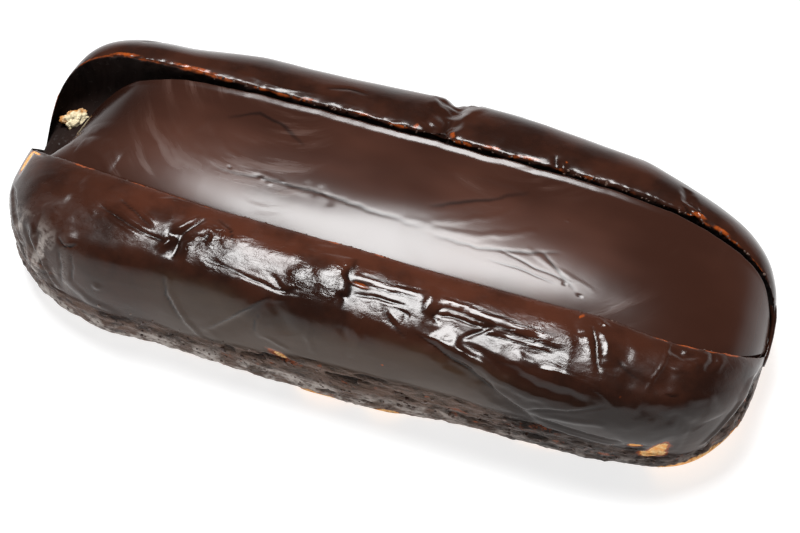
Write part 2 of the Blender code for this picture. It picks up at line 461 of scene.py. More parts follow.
def ring_mesh(name: str, grid: np.ndarray, tips: list, values: dict[str, np.ndarray]) -> bpy.types.Object:
    """Make a closed mesh of rings, with a vertex at each end.

    Args:
        name: the piece's name.
        grid: rings of points, in order along X.
        tips: the two end points.
        values: numbers for each grid point, kept as the mesh's attributes.

    Returns:
        The new object, linked to the scene and shaded smooth.
    """
    rows, columns = grid.shape[:2]
    points = np.concatenate([grid.reshape(-1, 3), np.array(tips)])
    row, column = np.meshgrid(np.arange(rows - 1), np.arange(columns), indexing="ij")
    here, beside = row * columns + column, row * columns + (column + 1) % columns
    quads = np.stack([here, beside, beside + columns, here + columns], axis=-1).reshape(-1, 4)
    first, last = rows * columns, rows * columns + 1
    ring = np.arange(columns)
    ahead = (ring + 1) % columns
    start = np.stack([np.full(columns, first), ahead, ring], axis=-1)
    final = (rows - 1) * columns
    end = np.stack([np.full(columns, last), final + ring, final + ahead], axis=-1)
    mesh = bpy.data.meshes.new(name)
    mesh.from_pydata(points.tolist(), [], quads.tolist() + start.tolist() + end.tolist())
    for key, value in values.items():
        layer = mesh.attributes.new(key, "FLOAT", "POINT")
        flat = np.concatenate([value.reshape(-1), [value[0].mean()], [value[-1].mean()]])
        layer.data.foreach_set("value", flat.astype(np.float32))
    bm = bmesh.new()
    bm.from_mesh(mesh)
    bmesh.ops.recalc_face_normals(bm, faces=bm.faces)
    bm.to_mesh(mesh)
    bm.free()
    mesh.shade_smooth()
    obj = bpy.data.objects.new(name, mesh)
    bpy.context.scene.collection.objects.link(obj)
    return obj


# ---------------------------------------------------------------------------------------------------
# Shader nodes as sums
# ---------------------------------------------------------------------------------------------------


class Socket:
    """A shader socket that can be used in a sum."""

    def __init__(self, paint: "Paint", link: bpy.types.NodeSocket) -> None:
        """Keep the socket and the paint that it belongs to."""
        self.paint = paint
        self.link = link

    def _math(self, operation: str, first: "Socket | float", second: "Socket | float") -> "Socket":
        """Return a Math node's result."""
        return self.paint.node("ShaderNodeMath", {"operation": operation}, {0: first, 1: second})

    def __add__(self, other: "Socket | float") -> "Socket":
        """Return the sum."""
        return self._math("ADD", self, other)

    __radd__ = __add__

    def __sub__(self, other: "Socket | float") -> "Socket":
        """Return the difference."""
        return self._math("SUBTRACT", self, other)

    def __rsub__(self, other: "Socket | float") -> "Socket":
        """Return the difference, the other way round."""
        return self._math("SUBTRACT", other, self)

    def __mul__(self, other: "Socket | float") -> "Socket":
        """Return the product."""
        return self._math("MULTIPLY", self, other)

    __rmul__ = __mul__

    def most(self, other: "Socket | float") -> "Socket":
        """Return the larger of two values."""
        return self._math("MAXIMUM", self, other)

    def least(self, other: "Socket | float") -> "Socket":
        """Return the smaller of two values."""
        return self._math("MINIMUM", self, other)

    def step(self, low: float, high: float) -> "Socket":
        """Return a smooth step from 0 at low to 1 at high."""
        sockets = {"Value": self, "From Min": low, "From Max": high}
        return self.paint.node("ShaderNodeMapRange", {"interpolation_type": "SMOOTHSTEP"}, sockets)


class Paint:
    """One material under construction."""

    def __init__(self, name: str) -> None:
        """Start a material with a Principled shader.

        Args:
            name: the material's name.
        """
        self.material = bpy.data.materials.new(name)
        self.material.use_nodes = True
        self.tree = self.material.node_tree
        self.shader = self.tree.nodes["Principled BSDF"]

    def node(
        self, kind: str, settings: dict | None = None, sockets: dict | None = None, output: int | str = 0,
    ) -> Socket:
        """Add a node.

        Args:
            kind: the node's type.
            settings: its own settings, set first.
            sockets: values or links of its inputs, by name or number.
            output: which output to return.

        Returns:
            The output.
        """
        node = self.tree.nodes.new(kind)
        for key, value in (settings or {}).items():
            setattr(node, key, value)
        for key, value in (sockets or {}).items():
            self._feed(node.inputs[key], value)
        return Socket(self, node.outputs[output])

    def _feed(self, target: bpy.types.NodeSocket, value: Socket | float | tuple) -> None:
        """Set a socket's value or link it.

        Args:
            target: the input socket.
            value: a number or colour to set, or a socket to link.
        """
        if isinstance(value, Socket):
            self.tree.links.new(value.link, target)
        elif isinstance(value, tuple) and len(value) == 3 and target.type == "RGBA":
            target.default_value = (*value, 1.0)
        else:
            target.default_value = value

    def set(self, **inputs: Socket | float) -> None:
        """Feed the Principled shader's own sockets; an underscore stands for a space."""
        for key, value in inputs.items():
            self._feed(self.shader.inputs[key.replace("_", " ")], value)

    def place(self) -> Socket:
        """Return the object's own coordinates."""
        return self.node("ShaderNodeTexCoord", output="Object")

    def attribute(self, name: str) -> Socket:
        """Return one of the mesh's attributes."""
        return self.node("ShaderNodeAttribute", {"attribute_name": name}, output="Fac")

    def scaled(self, place: Socket, scale: tuple) -> Socket:
        """Return coordinates scaled."""
        return self.node("ShaderNodeMapping", sockets={"Vector": place, "Scale": scale})

    def noise(
        self, place: Socket, scale: float, detail: float = 3, rough: float = 0.5, warp: float = 0,
    ) -> Socket:
        """Return noise from 0 to 1."""
        sockets = {"Vector": place, "Scale": scale, "Detail": detail, "Roughness": rough, "Distortion": warp}
        return self.node("ShaderNodeTexNoise", {"noise_dimensions": "3D"}, sockets, output="Fac")

    def warped(self, place: Socket, scale: float, amount: float) -> Socket:
        """Return coordinates pushed about by noise.

        Args:
            place: the coordinates.
            scale: the noise's scale.
            amount: how far to push, in metres.

        Returns:
            The new coordinates.
        """
        sockets = {"Vector": place, "Scale": scale, "Detail": 2}
        push = self.node("ShaderNodeTexNoise", None, sockets, output="Color")
        centred = self.vector("SUBTRACT", {0: push, 1: (0.5, 0.5, 0.5)})
        return self.vector("ADD", {0: place, 1: self.vector("SCALE", {0: centred, "Scale": amount})})

    def vector(self, operation: str, sockets: dict, output: int | str = 0) -> Socket:
        """Return a Vector Math node's result."""
        return self.node("ShaderNodeVectorMath", {"operation": operation}, sockets, output)

    def mix(self, share: Socket | float, first: Socket | tuple, second: Socket | tuple) -> Socket:
        """Return a colour between two."""
        settings = {"data_type": "RGBA"}
        return self.node("ShaderNodeMix", settings, {"Factor": share, 6: first, 7: second}, output=2)

    def bump(self, height: Socket, depth: float, below: Socket | None = None) -> Socket:
        """Return a normal with relief of this depth in metres.

        Args:
            height: the relief, from 0 to 1.
            depth: the depth that 1 stands for.
            below: a normal that has relief already.

        Returns:
            The normal.
        """
        sockets = {"Height": height, "Strength": 1.0, "Distance": depth}
        if below is not None:
            sockets["Normal"] = below
        return self.node("ShaderNodeBump", None, sockets, output="Normal")


# ---------------------------------------------------------------------------------------------------
# Finishes
# ---------------------------------------------------------------------------------------------------


@dataclass(frozen=True)
class CoatFinish:
    """Dark chocolate over bread: glossy, thin at its edges, bare on the underside and in torn places."""

    deep: tuple = (0.019, 0.0066, 0.0038)
    brown: tuple = (0.042, 0.0135, 0.0072)
    warm: tuple = (0.080, 0.0235, 0.0120)
    # Painted sheen: a lighter olive tone for the lower sides that face the table.
    table_sheen: tuple = (0.078, 0.0480, 0.0300)
    pale: tuple = (0.165, 0.098, 0.070)
    # Whitish: painted highlight on the flutes, and pale crumbs with painted reflection along the lower edge.
    crumbs_and_sheen: tuple = (0.50, 0.44, 0.40)
    # Near-black painted shade for hollows, pits, the marks' valleys and the split's inner walls.
    pit_shade: tuple = (0.0065, 0.0028, 0.0018)
    amber: tuple = (0.36, 0.070, 0.010)
    crust: tuple = (0.95, 0.36, 0.07)
    crumb: tuple = (1.0, 0.68, 0.32)

    def paint(self) -> bpy.types.Material:
        """Build the material.

        Returns:
            The new material.
        """
        paint = Paint("dark_chocolate_coat")
        place = paint.place()
        bare = paint.attribute("bare")
        thin = paint.attribute("thin")
        torn = paint.attribute("torn")
        crinkle = paint.attribute("crinkle")
        painted_shade = paint.attribute("painted_shade")
        polish = paint.attribute("polish")
        inside = paint.attribute("inside")
        rim = paint.attribute("rim")
        cloud = paint.noise(place, 75, 4, 0.6)
        haze = paint.noise(paint.scaled(place, (0.7, 1, 1)), 210, 4, 0.65)
        grain = paint.noise(place, 900, 3, 0.6)
        fleck = paint.noise(place, 2600, 2)
        chocolate = paint.mix(cloud.step(0.35, 0.65), self.deep, self.brown)
        warmth = paint.attribute("warm") * (0.35 + cloud.step(0.3, 0.6) * 0.65)
        chocolate = paint.mix(warmth, chocolate, self.warm)
        # Painted sheen: a lighter olive tone on the lower sides, where they face the table, strongest in the
        # middle of the front.
        chocolate = paint.mix(paint.attribute("table_sheen") * (0.5 + haze * 0.5), chocolate, self.table_sheen)
        edge = (thin + (grain - 0.5) * 0.55).step(0.42, 0.80)
        chocolate = paint.mix(edge * (0.45 + grain.step(0.3, 0.6) * 0.55), chocolate, self.amber)
        chips = paint.noise(paint.scaled(place, (0.4, 1, 1)), 620, 5, 0.7)
        chocolate = paint.mix(torn * chips.step(0.38, 0.60) * 0.9, chocolate, self.pale)
        # Painted shade: near-black in the torn band's hollows, along the marks' valleys, on shaded parts of
        # the front's side and over the split's inner walls.
        hollow = (torn * chips.step(0.40, 0.32) * 0.7).most(painted_shade).most(inside * 0.9)
        chocolate = paint.mix(hollow.least(1.0) * 0.85, chocolate, self.pit_shade)
        rusty = torn * paint.noise(paint.scaled(place, (0.35, 1, 1)), 300, 4, 0.7).step(0.60, 0.66)
        chocolate = paint.mix(rusty * grain.step(0.4, 0.6) * 0.7, chocolate, self.amber)
        # Whitish colour: painted highlight on the left end's flutes, and pale crumbs with painted reflection
        # of the table along the lower edge.
        crumb_sheen = paint.attribute("crumbs_and_sheen") * (chips * 0.7 + grain * 0.5).step(0.45, 0.70)
        chocolate = paint.mix(crumb_sheen, chocolate, self.crumbs_and_sheen)
        ragged = bare + (grain - 0.5) * 0.22 + (fleck - 0.5) * 0.12
        chocolate = paint.mix(ragged.step(0.34, 0.46) * 0.8, chocolate, self.amber)
        patch = ragged.step(0.46, 0.56)
        bread = paint.mix(grain.step(0.3, 0.7), self.crust, self.crumb)
        paint.set(Base_Color=paint.mix(patch, chocolate, bread))
        gloss = 0.15 + haze.step(0.42, 0.68) * (0.08 + crinkle * 0.16) + torn * 0.22 - polish * 0.10
        gloss = gloss + rim * (0.40 - grain.step(0.50, 0.66) * 0.30)
        gloss = gloss + inside * (0.80 - grain.step(0.60, 0.70) * 0.55)
        gloss = gloss + paint.attribute("satin") * (0.12 + haze * 0.35)
        paint.set(Roughness=gloss.most(0.10) * (1 - patch) + patch * 0.8)
        film = paint.noise(paint.scaled(place, (0.55, 1, 1)), 760, 4, 0.62, 0.5)
        fine = crinkle * (1 - polish) * 0.9 + paint.attribute("satin") * 0.35 + 0.05
        relief = paint.bump(film * fine, 0.00022)
        relief = paint.bump(chips * torn, 0.0012, relief)
        relief = paint.bump(fleck * patch, 0.0004, relief)
        paint.set(Normal=relief, IOR=1.46, Specular_IOR_Level=0.36)
        return paint.material


@dataclass(frozen=True)
class FillingFinish:
    """A smooth chocolate skin with the faint curved strokes of the knife that spread it."""

    deep: tuple = (0.038, 0.0128, 0.0074)
    brown: tuple = (0.074, 0.0265, 0.0160)
    streak: tuple = (0.100, 0.046, 0.032)
    turns: tuple = ((-0.028, 0.024, 0.028), (0.022, 0.022, 0.028))
    halves: tuple = ((-0.012, -0.022), (0.000, 0.012))

    def strokes(self, paint: Paint, place: Socket, turn: tuple, half: tuple) -> Socket:
        """Return thin arcs about one turning point, from 0 to 1, on one half of the mound.

        Args:
            paint: the material under construction.
            place: the object's own coordinates.
            turn: the turning point.
            half: where along X the strokes begin and where they are full.

        Returns:
            How strongly they show.
        """
        bent = paint.warped(place, 32, 0.008)
        radius = paint.vector("DISTANCE", {0: bent, 1: turn}, output="Value")
        along = paint.node("ShaderNodeSeparateXYZ", None, {"Vector": place}, output="X")
        ring = paint.node("ShaderNodeCombineXYZ", None, {"X": radius, "Y": along * 0.16, "Z": 0.0})
        lines = paint.noise(ring, 330, 4, 0.62).step(0.46, 0.72)
        zone = paint.noise(paint.scaled(place, (0.6, 1, 1)), 55, 2).step(0.42, 0.60)
        return lines * zone * along.step(*half)

    def paint(self) -> bpy.types.Material:
        """Build the material.

        Returns:
            The new material.
        """
        paint = Paint("smooth_chocolate_skin")
        place = paint.place()
        cloud = paint.noise(paint.scaled(place, (0.6, 1, 1)), 40, 3, 0.5)
        middle = paint.attribute("middle")
        painted_shade = paint.attribute("painted_shade")
        pairs = zip(self.turns, self.halves)
        first, second = (self.strokes(paint, place, turn, half) for turn, half in pairs)
        smear = first.most(second)
        colour = paint.mix(cloud.step(0.35, 0.65) * (0.35 + middle * 0.65), self.deep, self.brown)
        colour = paint.mix(smear * (0.12 + middle * 0.60), colour, self.streak)
        # Painted shade: near-black in the mound's grooves and sunk dots, and at its left end, more towards
        # the back.
        colour = paint.mix(painted_shade * 0.8, colour, (0.008, 0.003, 0.002))
        paint.set(Base_Color=colour)
        paint.set(Roughness=0.22 + smear * 0.22 * middle + (cloud - 0.5) * 0.14)
        relief = paint.bump(smear, 0.000016)
        paint.set(Normal=relief, IOR=1.46, Specular_IOR_Level=0.36)
        return paint.material


# ---------------------------------------------------------------------------------------------------
# The roll's skin
# ---------------------------------------------------------------------------------------------------


class Kind(Enum):
    """How a mark changes the surface across its path."""

    # The dark share of grooves, strips' side valleys, steps and sunk dots is painted shade in the colour.
    GROOVE = "a narrow valley, dark at its bottom"
    RIDGE = "a raised line"
    DENT = "a broad hollow"
    STRIP = "a flat glossy band with a thin dark valley along both sides"
    STEP = "film that lies over film and ends at the path"
    DOT = "a round bump, or a pit if it is sunk, at the path's one place"


@dataclass(frozen=True)
class Mark:
    """A crease, fold or dent along a path of places along X and girths, all in millimetres."""

    kind: Kind
    path: tuple
    width: float
    height: float

    def reach(self, x: np.ndarray, girth: np.ndarray) -> tuple[np.ndarray, np.ndarray]:
        """Return the distance to the path in widths, with its side as its sign, and the place along it.

        Args:
            x: the points' places along X, in millimetres.
            girth: their girths, in millimetres.

        Returns:
            Both for each point, the second from 0 to 1.
        """
        if self.kind is Kind.DOT:
            (x0, g0), = self.path
            return np.hypot(x - x0, girth - g0) / self.width, np.full(x.shape, 0.5)
        nearest = np.full(x.shape, np.inf)
        side = np.ones(x.shape)
        share = np.zeros(x.shape)
        stretches = list(zip(self.path, self.path[1:]))
        for number, ((x0, g0), (x1, g1)) in enumerate(stretches):
            run_x, run_g = x1 - x0, g1 - g0
            along = np.clip(((x - x0) * run_x + (girth - g0) * run_g) / (run_x**2 + run_g**2), 0, 1)
            off_x, off_g = x - x0 - along * run_x, girth - g0 - along * run_g
            distance = np.hypot(off_x, off_g)
            closer = distance < nearest
            nearest = np.where(closer, distance, nearest)
            side = np.where(closer, np.sign(off_x * run_g - off_g * run_x), side)
            share = np.where(closer, (number + along) / len(stretches), share)
        return nearest * side / self.width, share

    def press(self, x: np.ndarray, girth: np.ndarray, wobble: np.ndarray) -> tuple:
        """Return the mark's lift in metres, its painted shade and its polish, the last two from 0 to 1.

        Args:
            x: the points' places along X, in millimetres.
            girth: their girths, or their places across, in millimetres.
            wobble: how far the path strays from its line there, in widths.

        Returns:
            Three values for each point.
        """
        across, share = self.reach(x, girth)
        across = across + wobble * (self.kind is not Kind.DOT)
        fade = np.clip(4 * share * (1 - share), 0, 1) ** 0.5
        away = np.abs(across)
        line = bell(away)
        none = np.zeros(x.shape)
        # The dark share: painted shade at a groove's bottom, in a strip's side valleys, below a step's edge
        # and in a sunk dot.
        if self.kind is Kind.GROOVE:
            lift, painted_shade, polish = -line, bell(away * 1.4), none
        elif self.kind is Kind.RIDGE:
            lift, painted_shade, polish = line, none, line * 0.5
        elif self.kind is Kind.DOT:
            lift, painted_shade, polish = line, line * (self.height < 0), none
        elif self.kind is Kind.DENT:
            lift, painted_shade, polish = -line, none, none
        elif self.kind is Kind.STRIP:
            top = smooth(1.0, 0.75, away)
            edge = bell((away - 1.15) / 0.35)
            lift, painted_shade, polish = top - 0.7 * edge, edge, top
        else:
            flap = smooth(-0.25, 0.25, across) * smooth(6, 1, across)
            lift, painted_shade, polish = flap, bell((across + 0.3) / 0.5), none
        return lift * self.height * MM * fade, painted_shade * fade, polish * fade


def marks(kind: Kind, *rows: tuple) -> tuple[Mark, ...]:
    """Return marks of one kind, from rows of a width, a height and the path's places."""
    return tuple(Mark(kind, tuple(places), width, height) for width, height, *places in rows)


SEAM = ((79.7, 9), (79.2, 18), (78.4, 24), (77.2, 28), (75.8, 31), (74.4, 34), (72.6, 38))
TORN_TOP = (
    (-70, 34), (-31, 32.8), (-20, 31.4), (-7, 30.0), (10, 29.2), (25, 28.4), (42, 30.6), (58, 32.6), (76, 36),
)
FRONT_MARKS = (
    *marks(
        Kind.DENT,
        (3.0, 0.55, (-37, 11), (-35, 10), (-35.5, 18)),
        (2.2, 0.60, (13, 15.5), (21.5, 18.2), (28, 20.6), (35, 24.6), (41.4, 28.7)),
        (4.5, 0.42, (17, 11.0), (22, 11.6), (30, 12.2), (38, 12.2), (45, 11.6)),
        (1.8, 0.55, (24, 14.8), (33, 16.8), (41, 19.0), (51, 20.0)),
        (2.0, 0.26, (43.0, 0.6), (44.6, 5), (47.4, 12)),
        (1.7, 0.18, (53.4, 0.6), (55.2, 5.4), (55.8, 10)),
        (2.6, 0.30, (56, 12), (60, 13.4), (66, 13)),
        (2.4, 0.34, (63.4, -1), (64.0, 7), (63.4, 16)),
        (1.7, 0.40, (62.8, 2.6), (65.6, 4.4), (68.0, 2.6)),
        (1.1, 0.35, (70.4, 0.6), (71.0, 4.2), (70.2, 8)),
        (2.6, 0.35, (60, 19), (67, 20.6), (72, 25)),
        (2.6, 0.55, (-11.6, 17), (-10, 20.6), (-8.4, 23.6)),
        (1.2, 0.40, (2.4, 15.6), (2, 18.6), (3.4, 21)),
        (3.0, 0.30, (-62, 3), (-60, 8), (-62, 12)),
        (1.6, 0.70, (-75.5, 14), (-72, 21), (-67, 30)),
        (1.4, 0.50, (-68.5, 19), (-65, 25), (-61.6, 33)),
    ),
    *marks(
        Kind.RIDGE,
        (1.0, 0.35, (-37.5, 9.4), (-35.5, 7.6), (-33, 3.6)),
        (1.1, 0.40, (-38, 14), (-36.5, 11.5), (-35, 9.6)),
        (0.8, 0.30, (-32.5, 8.5), (-30, 6.2), (-28.2, 8), (-28.6, 10.6)),
        (0.6, 0.22, (-30.5, 4.2), (-27.2, 5.6), (-25.6, 9.2)),
        (0.6, 0.24, (-54, 6.6), (-48, 8.0), (-42, 10.2)),
        (0.6, 0.20, (-51, 8.8), (-47, 10.2), (-43.4, 11.8)),
        (0.5, 0.22, (-50.6, 4.4), (-46, 6.0), (-40.6, 8.6)),
        (0.5, 0.18, (-43, 3), (-40, 1.4), (-36, 1.0)),
        (3.6, 0.25, (-6.4, 2), (-4.8, 8), (-3.2, 17)),
        (2.0, 0.30, (15.4, 4.6), (16.8, 7.4), (17.0, 11)),
        (0.8, 0.18, (9.6, 12.6), (11.8, 14.2), (15, 15.8)),
        (1.8, 0.45, (19, 15.4), (30, 18.4), (40, 21.4), (48, 22.0)),
        (1.2, 0.24, (41, 24.0), (47, 22.4), (53, 20.2)),
        (1.3, 0.26, (42, 26.6), (48, 25.6), (55, 24.2)),
        (0.9, 0.26, (43, 29.6), (50, 30.4), (58, 31.2)),
        (0.5, 0.22, (40.4, 15.4), (45, 15.4), (50.5, 16.4), (53.6, 17.6), (56.2, 20)),
        (1.1, 0.08, (46.4, 4.4), (47.8, 8), (51.0, 14.6)),
        (2.4, 0.42, (49.8, 3.0), (51.4, 7.0), (52.8, 11.5)),
        (0.7, 0.40, (47.8, 0.6), (49.6, 2.6), (50.6, 2.4)),
        (2.6, 0.14, (58.4, 1.6), (57.0, 5), (56.4, 9)),
        (0.45, 0.30, (62.2, -0.5), (62.5, 7), (60.8, 15)),
        (1.3, 0.24, (63.2, 7.6), (65.4, 8.2), (67.2, 7.8)),
        (1.1, 0.15, (66.6, 7.4), (68.6, 6.2), (69.6, 3.4), (69.4, 1.4)),
        (1.1, 0.20, (67.2, 5.4), (67.8, 7.4), (67.6, 9.0)),
        (1.0, 0.16, (72.0, 0.8), (72.6, 4.4), (71.8, 8)),
        (2.2, 0.30, (68, 13), (72, 17), (74, 23)),
        (7.0, 0.35, (46, 26.0), (54, 25.4), (62, 25.4), (70, 26.6)),
        (0.8, 0.36, (-34.4, 17.6), (-33.4, 22.4), (-30.2, 28.4), (-26.4, 33.4)),
        (1.0, 0.22, (-27, 30), (-21, 23.6), (-14.8, 17.8)),
        (0.8, 0.22, (-13.4, 26), (-11, 27.2), (-8.4, 28.4)),
        (0.7, 0.24, (-4.2, 19), (-4.6, 23), (-3.4, 27)),
        (0.7, 0.26, (4.4, 17.4), (5.8, 20), (4.2, 25)),
        (1.0, 0.12, (-56.8, 8.2), (-55.0, 8.8), (-53.4, 9.6)),
        (3.6, 0.32, (-64, 10.5), (-61, 13), (-58.4, 15.4)),
        (0.40, 0.20, (-59.0, 16.6), (-57.4, 17.8), (-55.2, 16.6)),
        (1.5, 0.62, (-73.6, 20), (-69, 26.5), (-64, 34)),
        (1.3, 0.50, (-67, 17.4), (-63.6, 24), (-60, 33)),
        (2.0, 0.25, (-58, 27), (-52, 31), (-45, 33)),
        (0.9, 0.45, (78.8, 12), (78.0, 21), (76.4, 26.4), (74.6, 30), (72.8, 33.6)),
    ),
    *marks(
        Kind.GROOVE,
        (0.7, 0.45, (-35.2, 9.6), (-33.5, 7), (-31.5, 4)),
        (0.8, 0.35, (-35.2, 9.6), (-34.6, 12), (-35, 15)),
        (0.6, 0.30, (-31, 9.5), (-29.6, 7.6), (-29.4, 10)),
        (0.5, 0.20, (-29.5, 3.2), (-26, 5), (-23.8, 8.6)),
        (0.45, 0.26, (-53.4, 7.6), (-48, 9.1), (-42.6, 11.0)),
        (0.45, 0.24, (-50, 5.4), (-46, 7.0), (-41, 9.6)),
        (0.6, 0.20, (-44, 10.5), (-40, 11.5), (-37, 12)),
        (0.5, 0.20, (-29, 12.6), (-21, 13.8), (-13, 15.0), (-7, 14.8)),
        (0.6, 0.30, (-14.5, 12.2), (-11, 14.8), (-8.4, 13.6)),
        (0.5, 0.30, (1.0, 9.1), (2.6, 9.3), (4.4, 9.4)),
        (0.5, 0.20, (2, 11.4), (7, 10.6), (13, 10.8)),
        (0.45, 0.24, (8.4, 11.8), (10.6, 14.8), (14.8, 17.2)),
        (0.40, 0.20, (10.6, 11.6), (13.4, 12.4), (12.8, 15)),
        (0.5, 0.26, (18.6, 10.6), (21.6, 10.0), (27, 10.4), (29.4, 9.8)),
        (0.55, 0.30, (29.8, 9.4), (27.4, 11.6), (25, 14)),
        (0.55, 0.30, (19.4, 8.6), (18.2, 11), (19.6, 12.4)),
        (0.40, 0.40, (16, 15.4), (21.4, 17.5), (27.9, 19.6), (34.3, 23.6), (39.3, 26.9), (41.4, 28.7)),
        (0.45, 0.30, (39, 26.4), (42, 24.8), (48.8, 22.5), (54.5, 19.6)),
        (0.5, 0.40, (41, 27), (44.5, 28.2), (51, 28.8), (58.5, 29.6)),
        (0.55, 0.42, (47.8, 3.6), (49.6, 8.4), (51.4, 13.4)),
        (0.4, 0.16, (53.6, 9.2), (56.4, 11.4), (58.8, 12.6)),
        (0.5, 0.22, (64.4, 15), (65.6, 15.4), (66.8, 15.2)),
        (0.7, 0.20, (-35.2, 19), (-34.4, 23), (-31.4, 28.6)),
        (1.1, 0.90, (-22.8, 32.8), (-21.4, 33.4), (-20.2, 34.2)),
        (0.42, 0.50, (-59.2, 17.2), (-57.6, 18.5), (-56.0, 17.9), (-54.8, 16.8)),
        (0.45, 0.34, (-58.6, 20), (-58.2, 24), (-58.6, 29)),
        (0.45, 0.30, (-55.6, 19.4), (-55.2, 23), (-55.9, 27)),
        (0.6, 0.50, (-72, 25), (-70.4, 28), (-69.4, 33)),
        (0.6, 0.80, (79.4, 12), (78.8, 21), (77.6, 26.6), (76, 30.2), (74, 34)),
        (0.7, 0.90, (61.6, 35.8), (64.6, 36.6), (68, 35.6)),
        (0.5, 0.60, (59.2, 32.2), (61.2, 32.4), (63.0, 31.6)),
        (0.5, 0.40, (-12.6, 31.4), (-9.8, 32.0), (-7, 31.6)),
    ),
    *marks(
        Kind.STRIP,
        (0.85, 0.13, (0.8, 7.8), (8, 8.0), (15.6, 7.4)),
        (1.0, 0.13, (18.4, 7.6), (28, 8.2), (36, 8.8), (43.4, 9.4)),
        (0.5, 0.08, (27, 10.8), (35, 11.1), (42, 11.4)),
    ),
    *marks(
        Kind.STEP,
        (2.4, 0.46, (0.6, 16), (0.2, 9), (-0.8, 3.4)),
        (0.8, -0.45, (-12.6, 16.6), (-16.5, 19.6), (-25.6, 29)),
        (0.8, 0.20, (-14.6, 20), (-15.4, 23), (-15, 27)),
        (0.7, -1.05, *SEAM),
    ),
    *marks(
        Kind.DOT,
        (1.0, -0.45, (0.1, 12.4)),
        (2.6, 0.55, (-57.0, 16.2)),
        (1.3, 0.30, (-49.6, 25.4)),
    ),
)
BACK_MARKS = (
    *marks(
        Kind.DENT,
        (4.8, 1.5, (4.4, -12), (4.6, 4), (5.0, 12), (5.0, 26)),
        (2.2, 0.45, (5.2, 6.2), (5.4, 8), (5.4, 10.5)),
        (2.0, 0.80, (59.4, -5), (58, 2), (56, 9)),
    ),
    *marks(
        Kind.RIDGE,
        (0.9, 0.24, (2.6, 5), (1.6, 8), (-0.6, 12)),
        (0.9, 0.24, (7.4, 4.6), (8.8, 7), (11.2, 11)),
        (0.8, 0.35, (31.4, -1), (31.2, 0.8), (30.4, 2.6)),
        (0.8, 0.12, (-44, 3.4), (-30, 2.2), (-18, 3.6)),
        (1.0, 0.30, (-30, 14), (-26, 20), (-24, 28)),
        (1.4, 0.35, (15, 14), (24, 18), (34, 20)),
    ),
    *marks(
        Kind.GROOVE,
        (1.3, 0.70, (4.8, -5), (5.2, 0), (5.0, 5.6)),
        (0.9, 0.45, (30.4, -3), (29.8, 0.6), (28.6, 3)),
        (0.7, 0.14, (-22, 5), (-17, 6.4), (-13, 6)),
        (1.2, 0.30, (-64, 8), (-60, 14), (-58, 22)),
        (1.1, 0.45, (14, 16), (20, 21), (31, 24)),
        (1.0, 0.40, (-52, 18), (-44, 22), (-40, 29)),
    ),
    *marks(
        Kind.STRIP,
        (1.1, 0.40, (61.4, 0.6), (58.4, 2.0), (56.4, 3.8)),
    ),
    *marks(
        Kind.STEP,
        (0.9, 0.30, (44, 13), (50, 20), (58, 25)),
    ),
)


FILLING_MARKS = (
    *marks(
        Kind.DENT,
        (1.5, 0.060, (-13.4, -3.4), (-11.4, -5.0), (-9.8, -7.4)),
        (0.9, 0.035, (-16.4, -3.4), (-14.8, -4.8), (-13.8, -6.4)),
        (2.8, 0.14, (-68, -4.4), (-64, -4.0), (-59, -5.0)),
    ),
    *marks(
        Kind.RIDGE,
        (1.5, 0.035, (-57, 3.5), (-54.5, 0.9), (-48.8, -3.1), (-44, -5.4), (-37, -7.2)),
        (1.1, 0.030, (-46.6, 5.5), (-46.6, -0.4), (-42, -3.6), (-36, -6)),
        (1.5, 0.040, (-40.6, 9), (-42.8, 1), (-38.7, -3.1), (-33.6, -5), (-26, -5)),
        (1.3, 0.040, (-38.3, 5.6), (-37.5, 0.8), (-31.2, -2.9), (-23.7, -5), (-14, -6.2)),
        (1.3, 0.030, (3, 8.4), (14.1, 9.2), (23.4, 9.5), (27.4, 7.6), (23, 1), (13, -3.9), (4, -6)),
        (1.2, 0.045, (8, -6.4), (18, -5.6), (27, -3.0), (31, 0)),
        (0.8, 0.030, (30, -4.4), (38, -7.6), (46, -9.6)),
        (3.8, 0.22, (-66, -7.2), (-60.5, -8.2), (-55.5, -9.2)),
    ),
    *marks(
        Kind.GROOVE,
        (0.9, 0.030, (-35, -5.9), (-22, -5.2), (-8, -5.2), (10, -6.6)),
        (1.1, 0.025, (-38.2, 7.2), (-32, 10.2), (-26.8, 9.3), (-20, 5)),
        (1.0, 0.022, (9, -1.4), (13, 0.6), (18, 3.3), (27, 8.7)),
        (0.7, 0.035, (12, -7.4), (22, -7.4), (30, -5.6), (37, -3.6)),
        (0.5, 0.040, (25.3, -6.6), (33, -8.2), (41.4, -9.2)),
        (0.4, 0.040, (24, -9.2), (31, -9.5), (38, -10.4)),
        (0.6, 0.030, (33, -4.2), (38, -7.8), (42, -10.4)),
    ),
    *marks(
        Kind.DOT,
        (0.5, -0.18, (-32.4, -4.9)),
        (0.8, 0.10, (-25.3, -5.6)),
        (0.6, 0.08, (-23.4, -6.2)),
        (0.5, 0.06, (-21.0, -4.9)),
        (0.5, -0.10, (39.6, -9.8)),
        (0.5, -0.10, (43.0, -11.2)),
        (0.4, 0.08, (36.0, 4.4)),
    ),
)


@dataclass(frozen=True)
class Patch:
    """A place where the coat is missing or thin, as an oval turned by its lean; lengths in millimetres."""

    x: float
    girth: float
    length: float
    width: float
    lean: float = 0.0
    strength: float = 1.15

    def at(self, x: np.ndarray, girth: np.ndarray) -> np.ndarray:
        """Return 1 in the middle, falling through 0.5 at the oval's edge to 0.

        Args:
            x: the points' places along X, in millimetres.
            girth: their girths, in millimetres.

        Returns:
            One value for each point.
        """
        turn = math.radians(self.lean)
        off_x, off_g = x - self.x, girth - self.girth
        along = off_x * math.cos(turn) + off_g * math.sin(turn)
        across = off_g * math.cos(turn) - off_x * math.sin(turn)
        return np.clip(1 - 0.5 * np.hypot(along * 2 / self.length, across * 2 / self.width), 0, 1)


